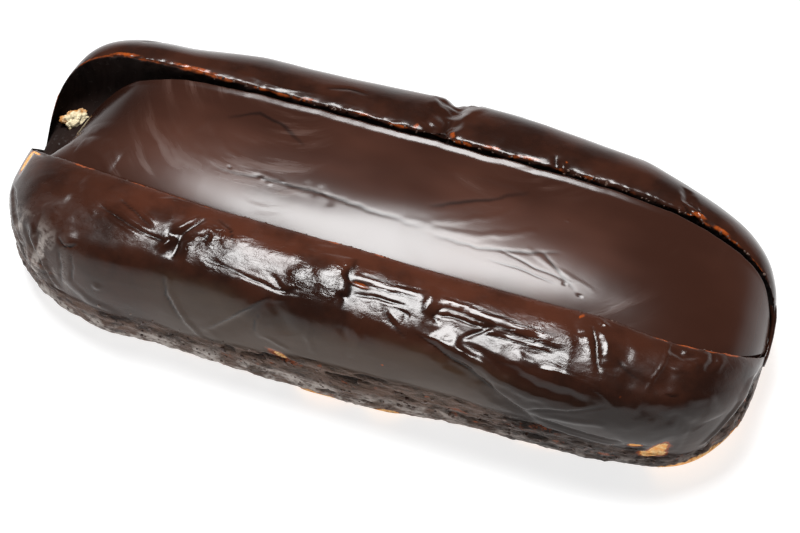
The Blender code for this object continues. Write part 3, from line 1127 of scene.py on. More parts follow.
FRONT_BARE = (
    Patch(-10.0, 31.0, 4.4, 1.0, 20),
    Patch(61.0, 30.8, 2.6, 1.1, -12),
    Patch(65.2, 32.6, 6.8, 2.8, -68),
    Patch(64.4, 34.2, 5.0, 2.4, -8),
    Patch(-76.7, 5.2, 1.7, 9.0),
    Patch(-75.2, 1.2, 3.4, 0.9, 6),
)
FRONT_THIN = (
    Patch(2.6, 9.1, 4.0, 0.9, 3),
    Patch(-10.0, 31.0, 7.0, 2.0, 20),
    Patch(65.2, 32.6, 8.2, 3.6, -68),
    Patch(45.0, 1.6, 0.9, 1.8, 25, 1.0),
    Patch(-57.4, 18.2, 3.4, 0.7, 2, 0.75),
    Patch(60.4, 0.6, 3.6, 0.8, 0, 1.0),
    Patch(65.6, 0.6, 4.2, 0.9, 5),
    Patch(70.2, 0.6, 3.4, 0.8, 0, 1.0),
    Patch(74.0, 0.9, 3.0, 0.9, 0, 0.9),
    Patch(-48.0, 0.4, 9.0, 0.8, 0, 0.85),
    Patch(-6.0, 0.4, 5.0, 0.9, 0, 0.95),
    Patch(4.0, 0.5, 3.4, 0.8, 0, 0.95),
    Patch(-62.0, 0.6, 6.0, 0.9, 0, 0.9),
    Patch(42.3, 31.6, 2.2, 1.0, 8),
    Patch(46.2, 32.3, 1.4, 0.9),
    Patch(10.8, 24.5, 0.7, 0.5),
    Patch(56.6, 17.2, 0.6, 0.4),
    Patch(-2.0, 30.0, 1.2, 0.8),
    Patch(9.5, 33.0, 0.9, 0.9),
    Patch(20.0, 31.0, 1.0, 0.8),
    Patch(40.4, 33.6, 4.0, 0.9, 8),
    Patch(26.0, 33.0, 5.0, 0.8, 6),
)
BACK_THIN = (
    Patch(7.2, 1.5, 1.1, 2.0, 30, 1.05),
    Patch(-0.6, 1.3, 1.0, 1.6, -30, 1.05),
    Patch(31.4, 2.2, 0.8, 1.0, 40, 0.8),
    Patch(16.0, 0.9, 5.0, 0.8, 3, 1.0),
    Patch(24.0, 0.9, 6.0, 0.8, 3, 1.0),
    Patch(-12.0, 0.9, 5.0, 0.7, 3, 0.9),
    Patch(-24.0, 0.9, 4.0, 0.7, 3, 1.0),
    Patch(-50.0, 1.1, 12.0, 1.2, 0, 0.95),
    Patch(-66.0, 1.1, 8.0, 1.2, 0, 0.95),
    Patch(65.0, 0.8, 4.0, 1.6),
    Patch(60.0, 1.4, 3.0, 1.2),
)


@dataclass(frozen=True)
class Points:
    """The skin's points: their places in metres, their X and girth in millimetres, and their lobe."""

    grid: np.ndarray
    x: np.ndarray
    girth: np.ndarray
    front: np.ndarray


@dataclass
class RollSkin:
    """The roll's whole outer surface: both lobes, the split's walls and the underside."""

    rows: int = 376
    coat_foot: float = 0.0006
    foot_wander: float = 0.0005
    foot_shown: float = 0.0026
    foot_blur: float = 0.0006
    swell_depth: float = 0.00032
    bare_sink: float = 0.00045
    fold_depth: float = 0.00042
    crease_depth: float = 0.00010
    scale_depth: float = 0.00042
    pit_depth: float = 0.00085
    flute_depth: float = 0.0006
    front_edge_depth: float = 0.00009
    back_edge_depth: float = 0.00027
    wall_depth: float = 0.00032
    front_gaps: tuple = ((0.078, 0.003), (0.0485, 0.0007), (0.0435, 0.00034), (-0.003, 0.002), (-0.0268, 0))
    back_gaps: tuple = (
        (0.069, 0.0035), (0.0425, 0.0010), (0.036, 0.0009), (0.014, 0.00042), (-0.004, 0.002), (-0.0268, 0),
    )
    name: str = "roll_skin"

    def build(self) -> bpy.types.Object:
        """Shape the skin, mark its zones and dress it.

        Returns:
            The new object.
        """
        x = FORM.stations(self.rows)
        front = spaced(list(self.front_gaps))
        back = spaced(list(self.back_gaps))
        back = np.concatenate([back, [self.back_gaps[-1][0]]])[:0:-1]
        girth = np.concatenate([front, back])
        is_front = np.concatenate([np.ones(len(front), bool), np.zeros(len(back), bool)])
        x_grid, girth_grid = np.meshgrid(x, girth, indexing="ij")
        grid = np.where(
            is_front[None, :, None],
            FORM.place(FRONT, x_grid, girth_grid),
            FORM.place(BACK, x_grid, girth_grid),
        )
        log.info("skin grid %s x %s", *x_grid.shape)
        at = Points(grid, x_grid / MM, girth_grid / MM, np.broadcast_to(is_front[None, :], x_grid.shape))
        values = self.zones(at)
        lift = self.relief(at, values)
        fade = smooth(0.1, 0.5, FORM.taper(x_grid))
        flat = smooth(0.0, 0.0015, grid[..., 2])
        grid = grid + grid_normals(grid) * (lift * fade * flat)[..., None]
        grid[..., 2] = np.maximum(grid[..., 2], 0.0)
        tip_z = FORM.tip_z - FORM.settle
        tips = [np.array([end * FORM.half_length, FORM.tip_y + FORM.middle_y, tip_z]) for end in (-1, 1)]
        self.grid, self.x, self.girth, self.is_front = grid, x, girth, is_front
        return ring_mesh(self.name, grid, tips, values)

    def strip(self, front: bool, start: tuple, end: tuple) -> bpy.types.Object:
        """Return a part of the skin as a mesh of its own, for grains to lie on.

        Args:
            front: whether it lies on the front lobe.
            start: its lowest place along X and its lowest girth.
            end: its highest place along X and its highest girth.

        Returns:
            The strip, linked to the scene.
        """
        rows = np.flatnonzero((self.x >= start[0]) & (self.x <= end[0]))
        chosen = (self.girth >= start[1]) & (self.girth <= end[1]) & (self.is_front == front)
        patch = self.grid[np.ix_(rows, np.flatnonzero(chosen))]
        count_x, count_g = patch.shape[:2]
        row, column = np.meshgrid(np.arange(count_x - 1), np.arange(count_g - 1), indexing="ij")
        first = (row * count_g + column).reshape(-1)
        quads = np.stack([first, first + 1, first + count_g + 1, first + count_g], axis=-1)
        mesh = bpy.data.meshes.new("strip")
        mesh.from_pydata(patch.reshape(-1, 3).tolist(), [], quads.tolist())
        strip = bpy.data.objects.new("strip", mesh)
        bpy.context.scene.collection.objects.link(strip)
        return strip

    def zones(self, at: Points) -> dict[str, np.ndarray]:
        """Return how strongly each of the coat's looks shows at each point, from 0 to 1.

        Args:
            at: the skin's points.

        Returns:
            Each look's values, by its name.
        """
        bare = self.bare(at)
        top = np.interp(at.x, *np.array(TORN_TOP).T)
        top = top + 0.9 * Noise(Seed.TORN_TOP).layers(stretched(at.grid, 2), 0.010, 3)
        spread = at.girth + 2.0 * Noise(Seed.TINT).layers(at.grid, 0.012, 4)
        warmth = (0.15 + 0.85 * smooth(-60, -42, at.x)) * (1 - 0.65 * smooth(38, 50, at.x))
        middle = 0.25 + 0.75 * smooth(-48, -26, at.x) * smooth(46, 26, at.x)
        return {
            "bare": bare,
            "thin": self.thin(at),
            "torn": self.torn(at, top, bare),
            "crinkle": self.crinkled(at),
            # The split's inner walls: rougher, with relief, and painted near-black as shade.
            "inside": smooth(0.3, -0.6, at.girth),
            "warm": smooth(11.0, 5.0, spread) * np.where(at.front, warmth, 0.12),
            # Painted sheen of the table's light on the lower sides, strongest in the middle of the front.
            "table_sheen": smooth(17.0, 22.5, spread) * np.where(at.front, middle, 0.6),
            "rim": bell((at.girth - 0.5) / 1.7) * np.where(at.front, 0.4, 0.15),
            # Whitish colour: painted highlight on the flutes, pale crumbs with painted reflection along the
            # lower edge.
            "crumbs_and_sheen": self.crumb_sheen(at, top, bare),
            "satin": self.satin(at),
        }

    def bare(self, at: Points) -> np.ndarray:
        """Return where bread shows: the underside, the foot here and there, and the bare patches.

        Args:
            at: the skin's points.

        Returns:
            One value from 0 to 1 for each point.
        """
        wander = Noise(Seed.FOOT).layers(stretched(at.grid, 1.6), 0.007, 4)
        shown = bell((at.x + 3) / 7.5) + 0.8 * bell((at.x - 10.5) / 5) + 2.1 * smooth(62, 70, at.x)
        foot = self.coat_foot + self.foot_wander * wander + self.foot_shown * shown
        bare = smooth(self.foot_blur, -self.foot_blur, at.grid[..., 2] - foot)
        for patch in FRONT_BARE:
            bare = np.maximum(bare, np.where(at.front, patch.at(at.x, at.girth), 0))
        return bare

    def thin(self, at: Points) -> np.ndarray:
        """Return where the coat is thin: along both rims and in the thin patches.

        Args:
            at: the skin's points.

        Returns:
            One value from 0 to 1 for each point.
        """
        ragged = Noise(Seed.RIM).layers(at.grid, 0.005, 4)
        line = bell((at.girth - 0.2) / np.where(at.front, 1.3, 1.0))
        left = smooth(-36, -50, at.x) * np.where(at.front, 0.4, 0.7)
        right = smooth(52, 60, at.x) * np.where(at.front, 0.3, 0.6)
        share = np.where(at.front, 0.30, 0.42) + 0.60 * ragged + 0.40 * (left + right)
        thin = line * np.clip(share, 0, 0.95)
        for patches, own in ((FRONT_THIN, at.front), (BACK_THIN, ~at.front)):
            for patch in patches:
                thin = np.maximum(thin, np.where(own, patch.strength * patch.at(at.x, at.girth), 0))
        return np.clip(thin, 0, 1)

    def torn(self, at: Points, top: np.ndarray, bare: np.ndarray) -> np.ndarray:
        """Return where the coat is rough: under the torn band's top, at the left and past the seam.

        Args:
            at: the skin's points.
            top: the torn band's top, as a girth in millimetres.
            bare: where bread shows.

        Returns:
            One value from 0 to 1 for each point.
        """
        torn = smooth(-0.8, 0.8, at.girth - top)
        left = smooth(-58, -66, at.x) * bell((at.girth - 29) / 9)
        torn = np.maximum(torn, 0.6 * left * at.front)
        seam_x, seam_girth = np.array(SEAM).T
        beyond = at.x - np.interp(at.girth, seam_girth, seam_x)
        torn = np.maximum(torn, 0.85 * smooth(0.2, 1.2, beyond) * smooth(8, 12, at.girth) * at.front)
        return np.clip(torn * (1 - smooth(0.6, 1.0, bare)), 0, 1)

    def crinkled(self, at: Points) -> np.ndarray:
        """Return where the coat is wrinkled: most on the front crest, a little everywhere else.

        Args:
            at: the skin's points.

        Returns:
            One value from 0 to 1 for each point.
        """
        crest = smooth(2.5, 7.0, at.girth) * smooth(18.5, 14.5, at.girth) * np.where(at.front, 1.0, 0.12)
        crest = crest * smooth(-50, -36, at.x) * (1 - 0.6 * smooth(50, 58, at.x))
        cloud = smooth(-0.15, 0.45, Noise(Seed.CRINKLE).layers(at.grid, 0.008, 3))
        calm = 1 - 0.65 * smooth(14, 20, at.x) * smooth(9.0, 11.5, at.girth)
        side = smooth(0, 3, at.girth) * (0.14 + 0.14 * smooth(9, 6, at.girth) * smooth(-45, -35, at.x))
        return np.maximum(crest * (0.25 + 0.75 * cloud) * calm, side * np.where(at.front, 1.0, 0.4))

    def crumb_sheen(self, at: Points, top: np.ndarray, bare: np.ndarray) -> np.ndarray:
        """Return where whitish colour is painted: a painted highlight on the left end's flutes, and pale
        crumbs with painted reflection of the table along the lower edge.

        Args:
            at: the skin's points.
            top: the torn band's top, as a girth in millimetres.
            bare: where bread shows.

        Returns:
            One value from 0 to 1 for each point.
        """
        flecks = smooth(0.0, 0.4, Noise(Seed.CRUMB_SHEEN).layers(at.grid, 0.004, 4) + 0.25)
        low = smooth(35.0, 37.5, at.girth - 0.25 * (top - 31)) * flecks * (1 - bare)
        low = low * (0.35 + 0.65 * smooth(50, -10, at.x))
        streaks = Noise(Seed.STREAKS).layers(stretched(at.grid, 0.7, 1.0, 2.6), 0.005, 4)
        left = 1.25 * bell((at.x + 66) / 11) * bell((at.girth - 26) / 13) * smooth(-0.25, 0.25, streaks)
        return np.clip(np.maximum(low, left) * at.front, 0, 1)

    def satin(self, at: Points) -> np.ndarray:
        """Return where the front's gloss is soft: on the left shoulder and at both ends.

        Args:
            at: the skin's points.

        Returns:
            One value from 0 to 1 for each point.
        """
        shoulder = bell(np.hypot((at.x + 61) / 15, (at.girth - 13.5) / 10))
        left = 0.8 * bell((at.x + 66) / 14) * bell((at.girth - 26) / 10)
        right = 0.6 * bell((at.x - 61) / 9) * bell((at.girth - 10) / 9)
        cloud = smooth(-0.2, 0.3, Noise(Seed.SATIN).layers(at.grid, 0.006, 4))
        satin = np.maximum(np.maximum(shoulder, left), right) * (0.55 + 0.45 * cloud)
        return np.clip(satin * at.front, 0, 1)

    def relief(self, at: Points, values: dict[str, np.ndarray]) -> np.ndarray:
        """Return how far each point stands out from the plain form.

        Args:
            at: the skin's points.
            values: the zones, to which the painted shade and the marks' polish are added.

        Returns:
            One distance for each point, in metres.
        """
        grid, height = at.grid, at.grid[..., 2]
        bare, torn = values["bare"], values["torn"]
        swell = Noise(Seed.SWELL).layers(stretched(grid, 1.5), 0.020, 3)
        lift = self.swell_depth * swell * (1 - 0.6 * torn)
        lift += bare * smooth(0.008, 0.006, height) * (0.0002 + 0.0003 * Noise(Seed.BASE).at(grid, 0.02))
        lift -= self.bare_sink * bare * smooth(0.006, 0.008, height)
        painted_shade, polish, rises = self.pressed(at)
        rough = values["crinkle"] * (1 - 0.85 * polish)
        folds = Noise(Seed.FOLDS).ridges(stretched(grid, 1.4), 0.0065, 3) - 0.75
        lift += rises + self.fold_depth * folds * rough
        lift += self.crease_depth * Noise(Seed.CREASES).layers(stretched(grid, 1.6), 0.0022, 2) * rough
        scales = Noise(Seed.SCALES).layers(stretched(grid, 2.6, 1.0, 0.8), 0.0030, 4, 0.65)
        pits = smooth(0.26, 0.46, Noise(Seed.PITS).layers(stretched(grid, 3.0, 1.0, 0.7), 0.0032, 3))
        pits = pits * smooth(40, 37, at.girth) * smooth(-30, -15, at.x)
        lift += (self.scale_depth * scales - self.pit_depth * pits) * torn
        flutes = Noise(Seed.FLUTES).ridges(stretched(grid, 0.8, 1.0, 3.0), 0.0060, 3) - 0.75
        fluted = smooth(-56, -66, at.x) * bell((at.girth - 26) / 12) * at.front
        lift += self.flute_depth * flutes * fluted
        ragged = Noise(Seed.EDGE).layers(stretched(grid, 1.2), 0.0016, 3, 0.7) * bell((at.girth - 0.1) / 1.6)
        lift += np.where(at.front, self.front_edge_depth, self.back_edge_depth) * ragged
        lift += self.wall_depth * Noise(Seed.WALLS).layers(grid, 0.0030, 4, 0.7) * values["inside"]
        # Painted shade: darker on the front's lower side towards the right end and in a patch in its middle,
        # and in the torn band's pits, over the marks' own painted shade.
        right = 0.75 * smooth(15, 21, at.girth) * smooth(24, 42, at.x) * smooth(76, 66, at.x)
        middle = 0.45 * bell((at.x + 12) / 11) * bell((at.girth - 20.5) / 4)
        shade = np.maximum(right, middle) * at.front * (1 - bare)
        values["painted_shade"] = np.maximum(np.maximum(painted_shade, shade), pits * torn)
        values["polish"] = polish
        return lift

    def pressed(self, at: Points) -> tuple[np.ndarray, np.ndarray, np.ndarray]:
        """Return the marks' painted shade, their polish and how far they lift the skin, at each point.

        Args:
            at: the skin's points.

        Returns:
            Three values for each point; the last is in metres.
        """
        lift, painted_shade, polish = (np.zeros(at.x.shape) for _ in range(3))
        wobble = 0.35 * Noise(Seed.MARKS).layers(at.grid, 0.0035, 2)
        for chosen, own in ((FRONT_MARKS, at.front), (BACK_MARKS, ~at.front)):
            for mark in chosen:
                rise, shade, shine = mark.press(at.x, at.girth, wobble)
                lift = lift + np.where(own, rise, 0)
                painted_shade = np.maximum(painted_shade, np.where(own, shade, 0))
                polish = np.maximum(polish, np.where(own, shine, 0))
        return painted_shade, polish, lift


# ---------------------------------------------------------------------------------------------------
# The filling
# ---------------------------------------------------------------------------------------------------


@dataclass
class FillingMound:
    """The mound that lies in the split."""

    gap: float = 0.0005
    front_gap: float = 0.00015
    left: float = -0.0726
    right: float = 0.0797
    back_gap: float = 0.0008
    crown: float = 0.0011
    crown_across: float = 0.16
    front_fall: float = 0.0026
    front_bend: float = 2.2
    back_fall: float = 0.0007
    lip_slope: float = 0.28
    lip_start: float = 0.855
    lip_full: float = 0.905
    pocket: float = 0.0020
    edge_wander: float = 0.00035
    end_lip: float = 0.30
    seat: float = 0.4
    bunching: float = 0.7
    swell_depth: float = 0.00012
    edge_drop: float = 0.0060
    edge_square: float = 160.0
    front_square: float = 110.0
    edge_root: float = 2.6
    keel_square: float = 2.3
    left_power: float = 13.0
    right_power: float = 40.0
    end_root: float = 2.2
    rows: int = 420
    top_columns: int = 180
    keel_columns: int = 40
    name: str = "filling_mound"

    def outline(self) -> tuple[np.ndarray, np.ndarray, np.ndarray, np.ndarray]:
        """Return the section once round.

        Returns:
            The places across, from -1 to 1; the fall below the crown, as a length; how far the back edge
            turns up, as a length; and the keel's depth, from 0 at the mound's edges to 1 at its lowest.
        """
        top = np.linspace(1, -1, self.top_columns, endpoint=False)
        keel = np.linspace(math.pi, 2 * math.pi, self.keel_columns, endpoint=False)
        across = np.sin(top * math.pi / 2)
        forward = np.clip((self.crown_across - across) / (1 + self.crown_across), 0, 1)
        backward = np.clip((across - self.crown_across) / (1 - self.crown_across), 0, 1)
        fall = self.front_fall * forward**self.front_bend + self.back_fall * backward**2
        bend = np.clip((across - self.lip_start) / (self.lip_full - self.lip_start), 0, 1)
        climb = bend**2 / 2 * (self.lip_full - self.lip_start) + np.clip(across - self.lip_full, 0, 0.11)
        square = np.where(across < 0, self.front_square, self.edge_square)
        shoulder = (1 - np.abs(across) ** square) ** (1 / self.edge_root)
        drop = self.crown + self.edge_drop
        fall = drop - (drop - fall) * shoulder
        lip = self.lip_slope * FORM.slot_half * climb * shoulder
        power = 2 / self.keel_square
        keel_across = np.sign(np.cos(keel)) * np.abs(np.cos(keel)) ** power
        depth = np.abs(np.sin(keel)) ** power
        across = np.concatenate([across, keel_across])
        fall = np.concatenate([fall, np.full(self.keel_columns, drop)])
        lip = np.concatenate([lip, np.zeros(self.keel_columns)])
        return across, fall, lip, np.concatenate([np.zeros(self.top_columns), depth])

    def build(self) -> bpy.types.Object:
        """Shape the mound.

        Returns:
            The new object.
        """
        middle = (self.left + self.right) / 2
        half = (self.right - self.left) / 2
        even = np.linspace(-1, 1, self.rows + 1)[1:-1]
        closing = self.bunching * np.sin(even * math.pi / 2) + (1 - self.bunching) * even
        x = (middle + half * closing)[:, None]
        across, fall, lip, depth = (value[None, :] for value in self.outline())
        raised = smooth(-0.060, -0.036, x) * smooth(0.064, 0.040, x)
        fall = fall - lip * (self.end_lip + (1 - self.end_lip) * raised)
        is_left = x < middle
        power = np.where(is_left, self.left_power, self.right_power)
        end = (1 - np.abs((x - middle) / half) ** power) ** (1 / self.end_root)
        taper = FORM.taper(x)
        front = FORM.slot_half * taper - self.front_gap - FORM.drawn(x)
        wander = self.edge_wander * Noise(Seed.MOUND_EDGE).layers(x[..., None] * np.ones(3), 0.012, 3)
        back = (FORM.slot_half - self.back_gap) * taper - self.gap + wander
        centre = FORM.tip_y * (1 - taper) + FORM.middle_y + (back - front) / 2
        rim = FORM.tip_z + (FORM.slot_rim - FORM.tip_z) * taper - FORM.settle
        floor = FORM.tip_z + (FORM.slot_floor - FORM.tip_z) * taper - FORM.settle + self.gap
        edge = rim - self.edge_drop * taper
        seat = floor + (edge - floor) * self.seat
        top = rim + (self.crown - fall) * taper
        sunk = np.where(is_left, np.clip(across + 1, 0, 1), 1.0)
        z = seat + (np.where(depth > 0, edge - (edge - floor) * depth, top) - seat) * (1 - (1 - end) * sunk)
        opened = smooth(-0.060, -0.073, x) * np.clip((across + 0.5) / 1.4, 0, 1)
        z = z - self.pocket * opened * (1 - depth)
        y = centre + (front + back) / 2 * (across * end - is_left * (1 - end))
        x = np.broadcast_to(x, z.shape)
        grid = np.stack([x, y, z], axis=-1)
        lift = self.swell_depth * Noise(Seed.MOUND).layers(stretched(grid, 2.5), 0.02, 3)
        painted_shade = np.zeros(z.shape)
        wobble = 0.5 * Noise(Seed.MOUND_MARKS).layers(grid, 0.004, 2)
        for mark in FILLING_MARKS:
            rise, shade, _ = mark.press(x / MM, y / MM, wobble)
            lift = lift + rise
            painted_shade = np.maximum(painted_shade, shade)
        # Painted shade at the left end, where the mound sinks into the split's pocket, stronger towards the
        # back.
        painted_shade = np.maximum(painted_shade, (0.35 + 0.5 * smooth(-0.008, 0.004, y)) * smooth(-0.050, -0.064, x))
        middle_share = smooth(-0.068, -0.045, x) * smooth(0.066, 0.040, x)
        grid = grid + grid_normals(grid) * (lift * smooth(0, 0.3, end * (1 - depth)))[..., None]
        tips = []
        for row, place in ((0, self.left), (-1, self.right)):
            tips.append(np.array([place, grid[row, :, 1].mean(), grid[row, :, 2].mean()]))
        return ring_mesh(self.name, grid, tips, {"middle": middle_share, "painted_shade": painted_shade})


# ---------------------------------------------------------------------------------------------------
# Small loose and hardened bits
# ---------------------------------------------------------------------------------------------------


@dataclass(frozen=True)
class Grains:
    """Beads or flakes of one kind, spread over a strip of skin by Geometry Nodes."""

    name: str
    density: float
    smallest: float
    largest: float
    flat: float
    seed: int
    lump_size: float = 1.4
    lumpiness: float = 0.35

    def tree(self, material: bpy.types.Material) -> bpy.types.NodeTree:
        """Return the tree that spreads the grains.

        Args:
            material: the grains' finish.

        Returns:
            The tree, with its sizes as named inputs.
        """
        tree = bpy.data.node_groups.new(self.name, "GeometryNodeTree")
        face = tree.interface
        face.new_socket("Geometry", in_out="INPUT", socket_type="NodeSocketGeometry")
        for label in ("Density", "Smallest", "Largest", "Flat"):
            face.new_socket(label, in_out="INPUT", socket_type="NodeSocketFloat")
        face.new_socket("Seed", in_out="INPUT", socket_type="NodeSocketInt")
        face.new_socket("Geometry", in_out="OUTPUT", socket_type="NodeSocketGeometry")
        kinds = {
            "entry": "NodeGroupInput", "exit": "NodeGroupOutput",
            "spread": "GeometryNodeDistributePointsOnFaces", "ball": "GeometryNodeMeshIcoSphere",
            "size": "FunctionNodeRandomValue", "turn": "FunctionNodeRandomValue",
            "shape": "ShaderNodeCombineXYZ", "thin": "ShaderNodeMath",
            "place": "GeometryNodeInstanceOnPoints", "solid": "GeometryNodeRealizeInstances",
            "dress": "GeometryNodeSetMaterial",
            "lean": "FunctionNodeRotateRotation", "round": "FunctionNodeEulerToRotation",
            "about": "ShaderNodeCombineXYZ",
        }
        node = {key: tree.nodes.new(kind) for key, kind in kinds.items()}
        node["ball"].inputs["Subdivisions"].default_value = 2
        node["ball"].inputs["Radius"].default_value = 1.0
        node["size"].data_type = "FLOAT"
        node["turn"].data_type = "FLOAT"
        node["turn"].inputs[3].default_value = math.tau
        node["thin"].operation = "MULTIPLY"
        node["lean"].rotation_space = "LOCAL"
        node["dress"].inputs["Material"].default_value = material
        wires = (
            ("entry", "Geometry", "spread", "Mesh"), ("entry", "Density", "spread", "Density"),
            ("entry", "Seed", "spread", "Seed"), ("entry", "Seed", "size", "Seed"),
            ("entry", "Smallest", "size", 2), ("entry", "Largest", "size", 3),
            ("entry", "Seed", "turn", "Seed"),
            ("size", 1, "shape", "X"), ("size", 1, "shape", "Y"), ("size", 1, "thin", 0),
            ("entry", "Flat", "thin", 1), ("thin", 0, "shape", "Z"), ("turn", 1, "about", "Z"),
            ("about", 0, "round", 0), ("spread", "Rotation", "lean", "Rotation"),
            ("round", 0, "lean", "Rotate By"),
            ("spread", "Points", "place", "Points"), ("ball", "Mesh", "place", "Instance"),
            ("lean", 0, "place", "Rotation"), ("shape", 0, "place", "Scale"), ("place", 0, "solid", 0),
            ("solid", 0, "dress", "Geometry"), ("dress", 0, "exit", "Geometry"),
        )
        for source, output, target, socket in wires:
            tree.links.new(node[source].outputs[output], node[target].inputs[socket])
        return tree

    def grow(self, strip: bpy.types.Object, material: bpy.types.Material) -> bpy.types.Object:
        """Spread the grains over a strip, and remove the strip.

        Args:
            strip: the surface they lie on.
            material: their finish.

        Returns:
            The grains as one plain mesh, each a little lumpy.
        """
        tree = self.tree(material)
        modifier = strip.modifiers.new("grains", "NODES")
        modifier.node_group = tree
        inputs = {item.name: item.identifier for item in tree.interface.items_tree if item.in_out == "INPUT"}
        sizes = {
            "Density": self.density, "Smallest": self.smallest, "Largest": self.largest, "Flat": self.flat,
            "Seed": self.seed,
        }
        for label, value in sizes.items():
            modifier[inputs[label]] = value
        strip.update_tag()
        view = bpy.context.evaluated_depsgraph_get()
        mesh = bpy.data.meshes.new_from_object(strip.evaluated_get(view))
        bpy.data.objects.remove(strip)
        mesh.name = self.name
        piece = bpy.data.objects.new(self.name, mesh)
        bpy.context.scene.collection.objects.link(piece)
        points = np.empty(len(mesh.vertices) * 3)
        mesh.vertices.foreach_get("co", points)
        points = points.reshape(-1, 3)
        size = self.largest * self.lump_size
        push = np.stack([Noise(self.seed + axis).at(points, size) for axis in range(3)], axis=-1)
        mesh.vertices.foreach_set("co", (points + push * self.largest * self.lumpiness).reshape(-1))
        mesh.shade_smooth()
        mesh.update()
        return piece


@dataclass(frozen=True)
class CreamPatch:
    """A lump of pale cream that shows in the split's left end."""

    centre: tuple = (-0.0756, 0.0084, 0.0130)
    radii: tuple = (0.0027, 0.0011, 0.0021)
    turn: float = 0.75
    lean: float = -0.70
    name: str = "cream_patch"

    def build(self) -> bpy.types.Object:
        """Shape the lump.

        Returns:
            The new object.
        """
        shape = bmesh.new()
        bmesh.ops.create_icosphere(shape, subdivisions=5, radius=1.0)
        mesh = bpy.data.meshes.new(self.name)
        shape.to_mesh(mesh)
        shape.free()
        points = np.empty(len(mesh.vertices) * 3)
        mesh.vertices.foreach_get("co", points)
        ball = points.reshape(-1, 3)
        lumps = 1 + 0.42 * Noise(Seed.CREAM).layers(ball, 0.9, 4, 0.6)
        edge = smooth(0.70, 0.98, np.hypot(ball[:, 0], ball[:, 2]))
        mesh.attributes.new("edge", "FLOAT", "POINT").data.foreach_set("value", edge.astype(np.float32))
        points = ball * lumps[:, None] * np.array(self.radii)
        cos, sin = math.cos(self.lean), math.sin(self.lean)
        y, z = points[:, 1] * cos - points[:, 2] * sin, points[:, 1] * sin + points[:, 2] * cos
        points = np.stack([points[:, 0], y, z], axis=-1)
        cos, sin = math.cos(self.turn), math.sin(self.turn)
        x = points[:, 0] * cos - points[:, 1] * sin
        y = points[:, 0] * sin + points[:, 1] * cos
        points = np.stack([x, y, points[:, 2]], axis=-1) + np.array(self.centre)
        mesh.vertices.foreach_set("co", points.reshape(-1))
        mesh.shade_smooth()
        mesh.update()
        piece = bpy.data.objects.new(self.name, mesh)
        bpy.context.scene.collection.objects.link(piece)
        return piece


@dataclass(frozen=True)
class EndStrand:
    """A thin strand of chocolate that closes the split's right end, with a slit behind it."""

    path: tuple = (
        (0.0786, 0.0085, 0.0150), (0.0796, 0.0060, 0.0142), (0.0801, 0.0020, 0.0125),
        (0.0800, -0.0010, 0.0112), (0.0795, -0.0030, 0.0105),
    )
    radius: float = 0.00055
    rings: int = 60
    sides: int = 14
    name: str = "end_strand"

    def build(self) -> bpy.types.Object:
        """Sweep the strand along its path.

        Returns:
            The new object.
        """
        stops = np.linspace(0, 1, len(self.path))
        share = np.linspace(0, 1, self.rings)
        raw = np.stack([np.interp(share, stops, axis) for axis in np.array(self.path).T], axis=-1)
        kernel = np.hanning(17) / np.hanning(17).sum()
        padded = np.pad(raw, ((8, 8), (0, 0)), mode="reflect", reflect_type="odd")
        line = np.stack([np.convolve(padded[:, axis], kernel, "valid") for axis in range(3)], axis=-1)
        run = np.gradient(line, axis=0)
        run /= np.linalg.norm(run, axis=1, keepdims=True)
        first = np.cross(run, np.array([1.0, 0.0, 0.2]))
        first /= np.linalg.norm(first, axis=1, keepdims=True)
        second = np.cross(run, first)
        turn = np.linspace(0, math.tau, self.sides, endpoint=False)
        uneven = 1 + 0.2 * Noise(Seed.STRAND).at(line, 0.003)
        thick = self.radius * (0.8 + 0.5 * np.abs(share - 0.5) * 2) * uneven
        cos, sin = np.cos(turn)[None, :, None], np.sin(turn)[None, :, None]
        ring = first[:, None] * cos + second[:, None] * sin
        grid = line[:, None] + ring * thick[:, None, None]
        return ring_mesh(self.name, grid, [line[0], line[-1]], {})


@dataclass(frozen=True)
class CreamFinish:
    """Pale whipped cream, matte, browned where it thins."""

    pale: tuple = (1.0, 0.86, 0.56)
    tan: tuple = (0.62, 0.27, 0.07)

    def paint(self) -> bpy.types.Material:
        """Build the material.

        Returns:
            The new material.
        """
        paint = Paint("pale_cream")
        place = paint.place()
        patches = paint.noise(place, 480, 3, 0.6)
        grain = paint.noise(place, 2200, 3, 0.6)
        browned = (paint.attribute("edge") * 0.7 + (patches - 0.5) * 1.4).step(0.42, 0.78)
        paint.set(Base_Color=paint.mix(browned, self.pale, self.tan))
        paint.set(Roughness=0.55 + grain * 0.2, Normal=paint.bump(grain, 0.0003))
        return paint.material


@dataclass(frozen=True)
class BeadFinish:
    """Hardened drops and flakes of the coat, a little lighter than it."""

    deep: tuple = (0.045, 0.0170, 0.0100)
    light: tuple = (0.160, 0.100, 0.074)

    def paint(self) -> bpy.types.Material:
        """Build the material.

        Returns:
            The new material.
        """
        paint = Paint("chocolate_flakes")
        place = paint.place()
        patches = paint.noise(place, 700, 3, 0.6)
        paint.set(Base_Color=paint.mix(patches.step(0.42, 0.62), self.deep, self.light))
        relief = paint.bump(paint.noise(place, 3000, 2), 0.00006)
        paint.set(Roughness=0.20 + patches * 0.2, Normal=relief, IOR=1.46)
        return paint.material


@dataclass(frozen=True)
class Strewn:
    """Grains and the part of the skin that they lie on."""

    grains: Grains
    front: bool
    start: tuple
    end: tuple


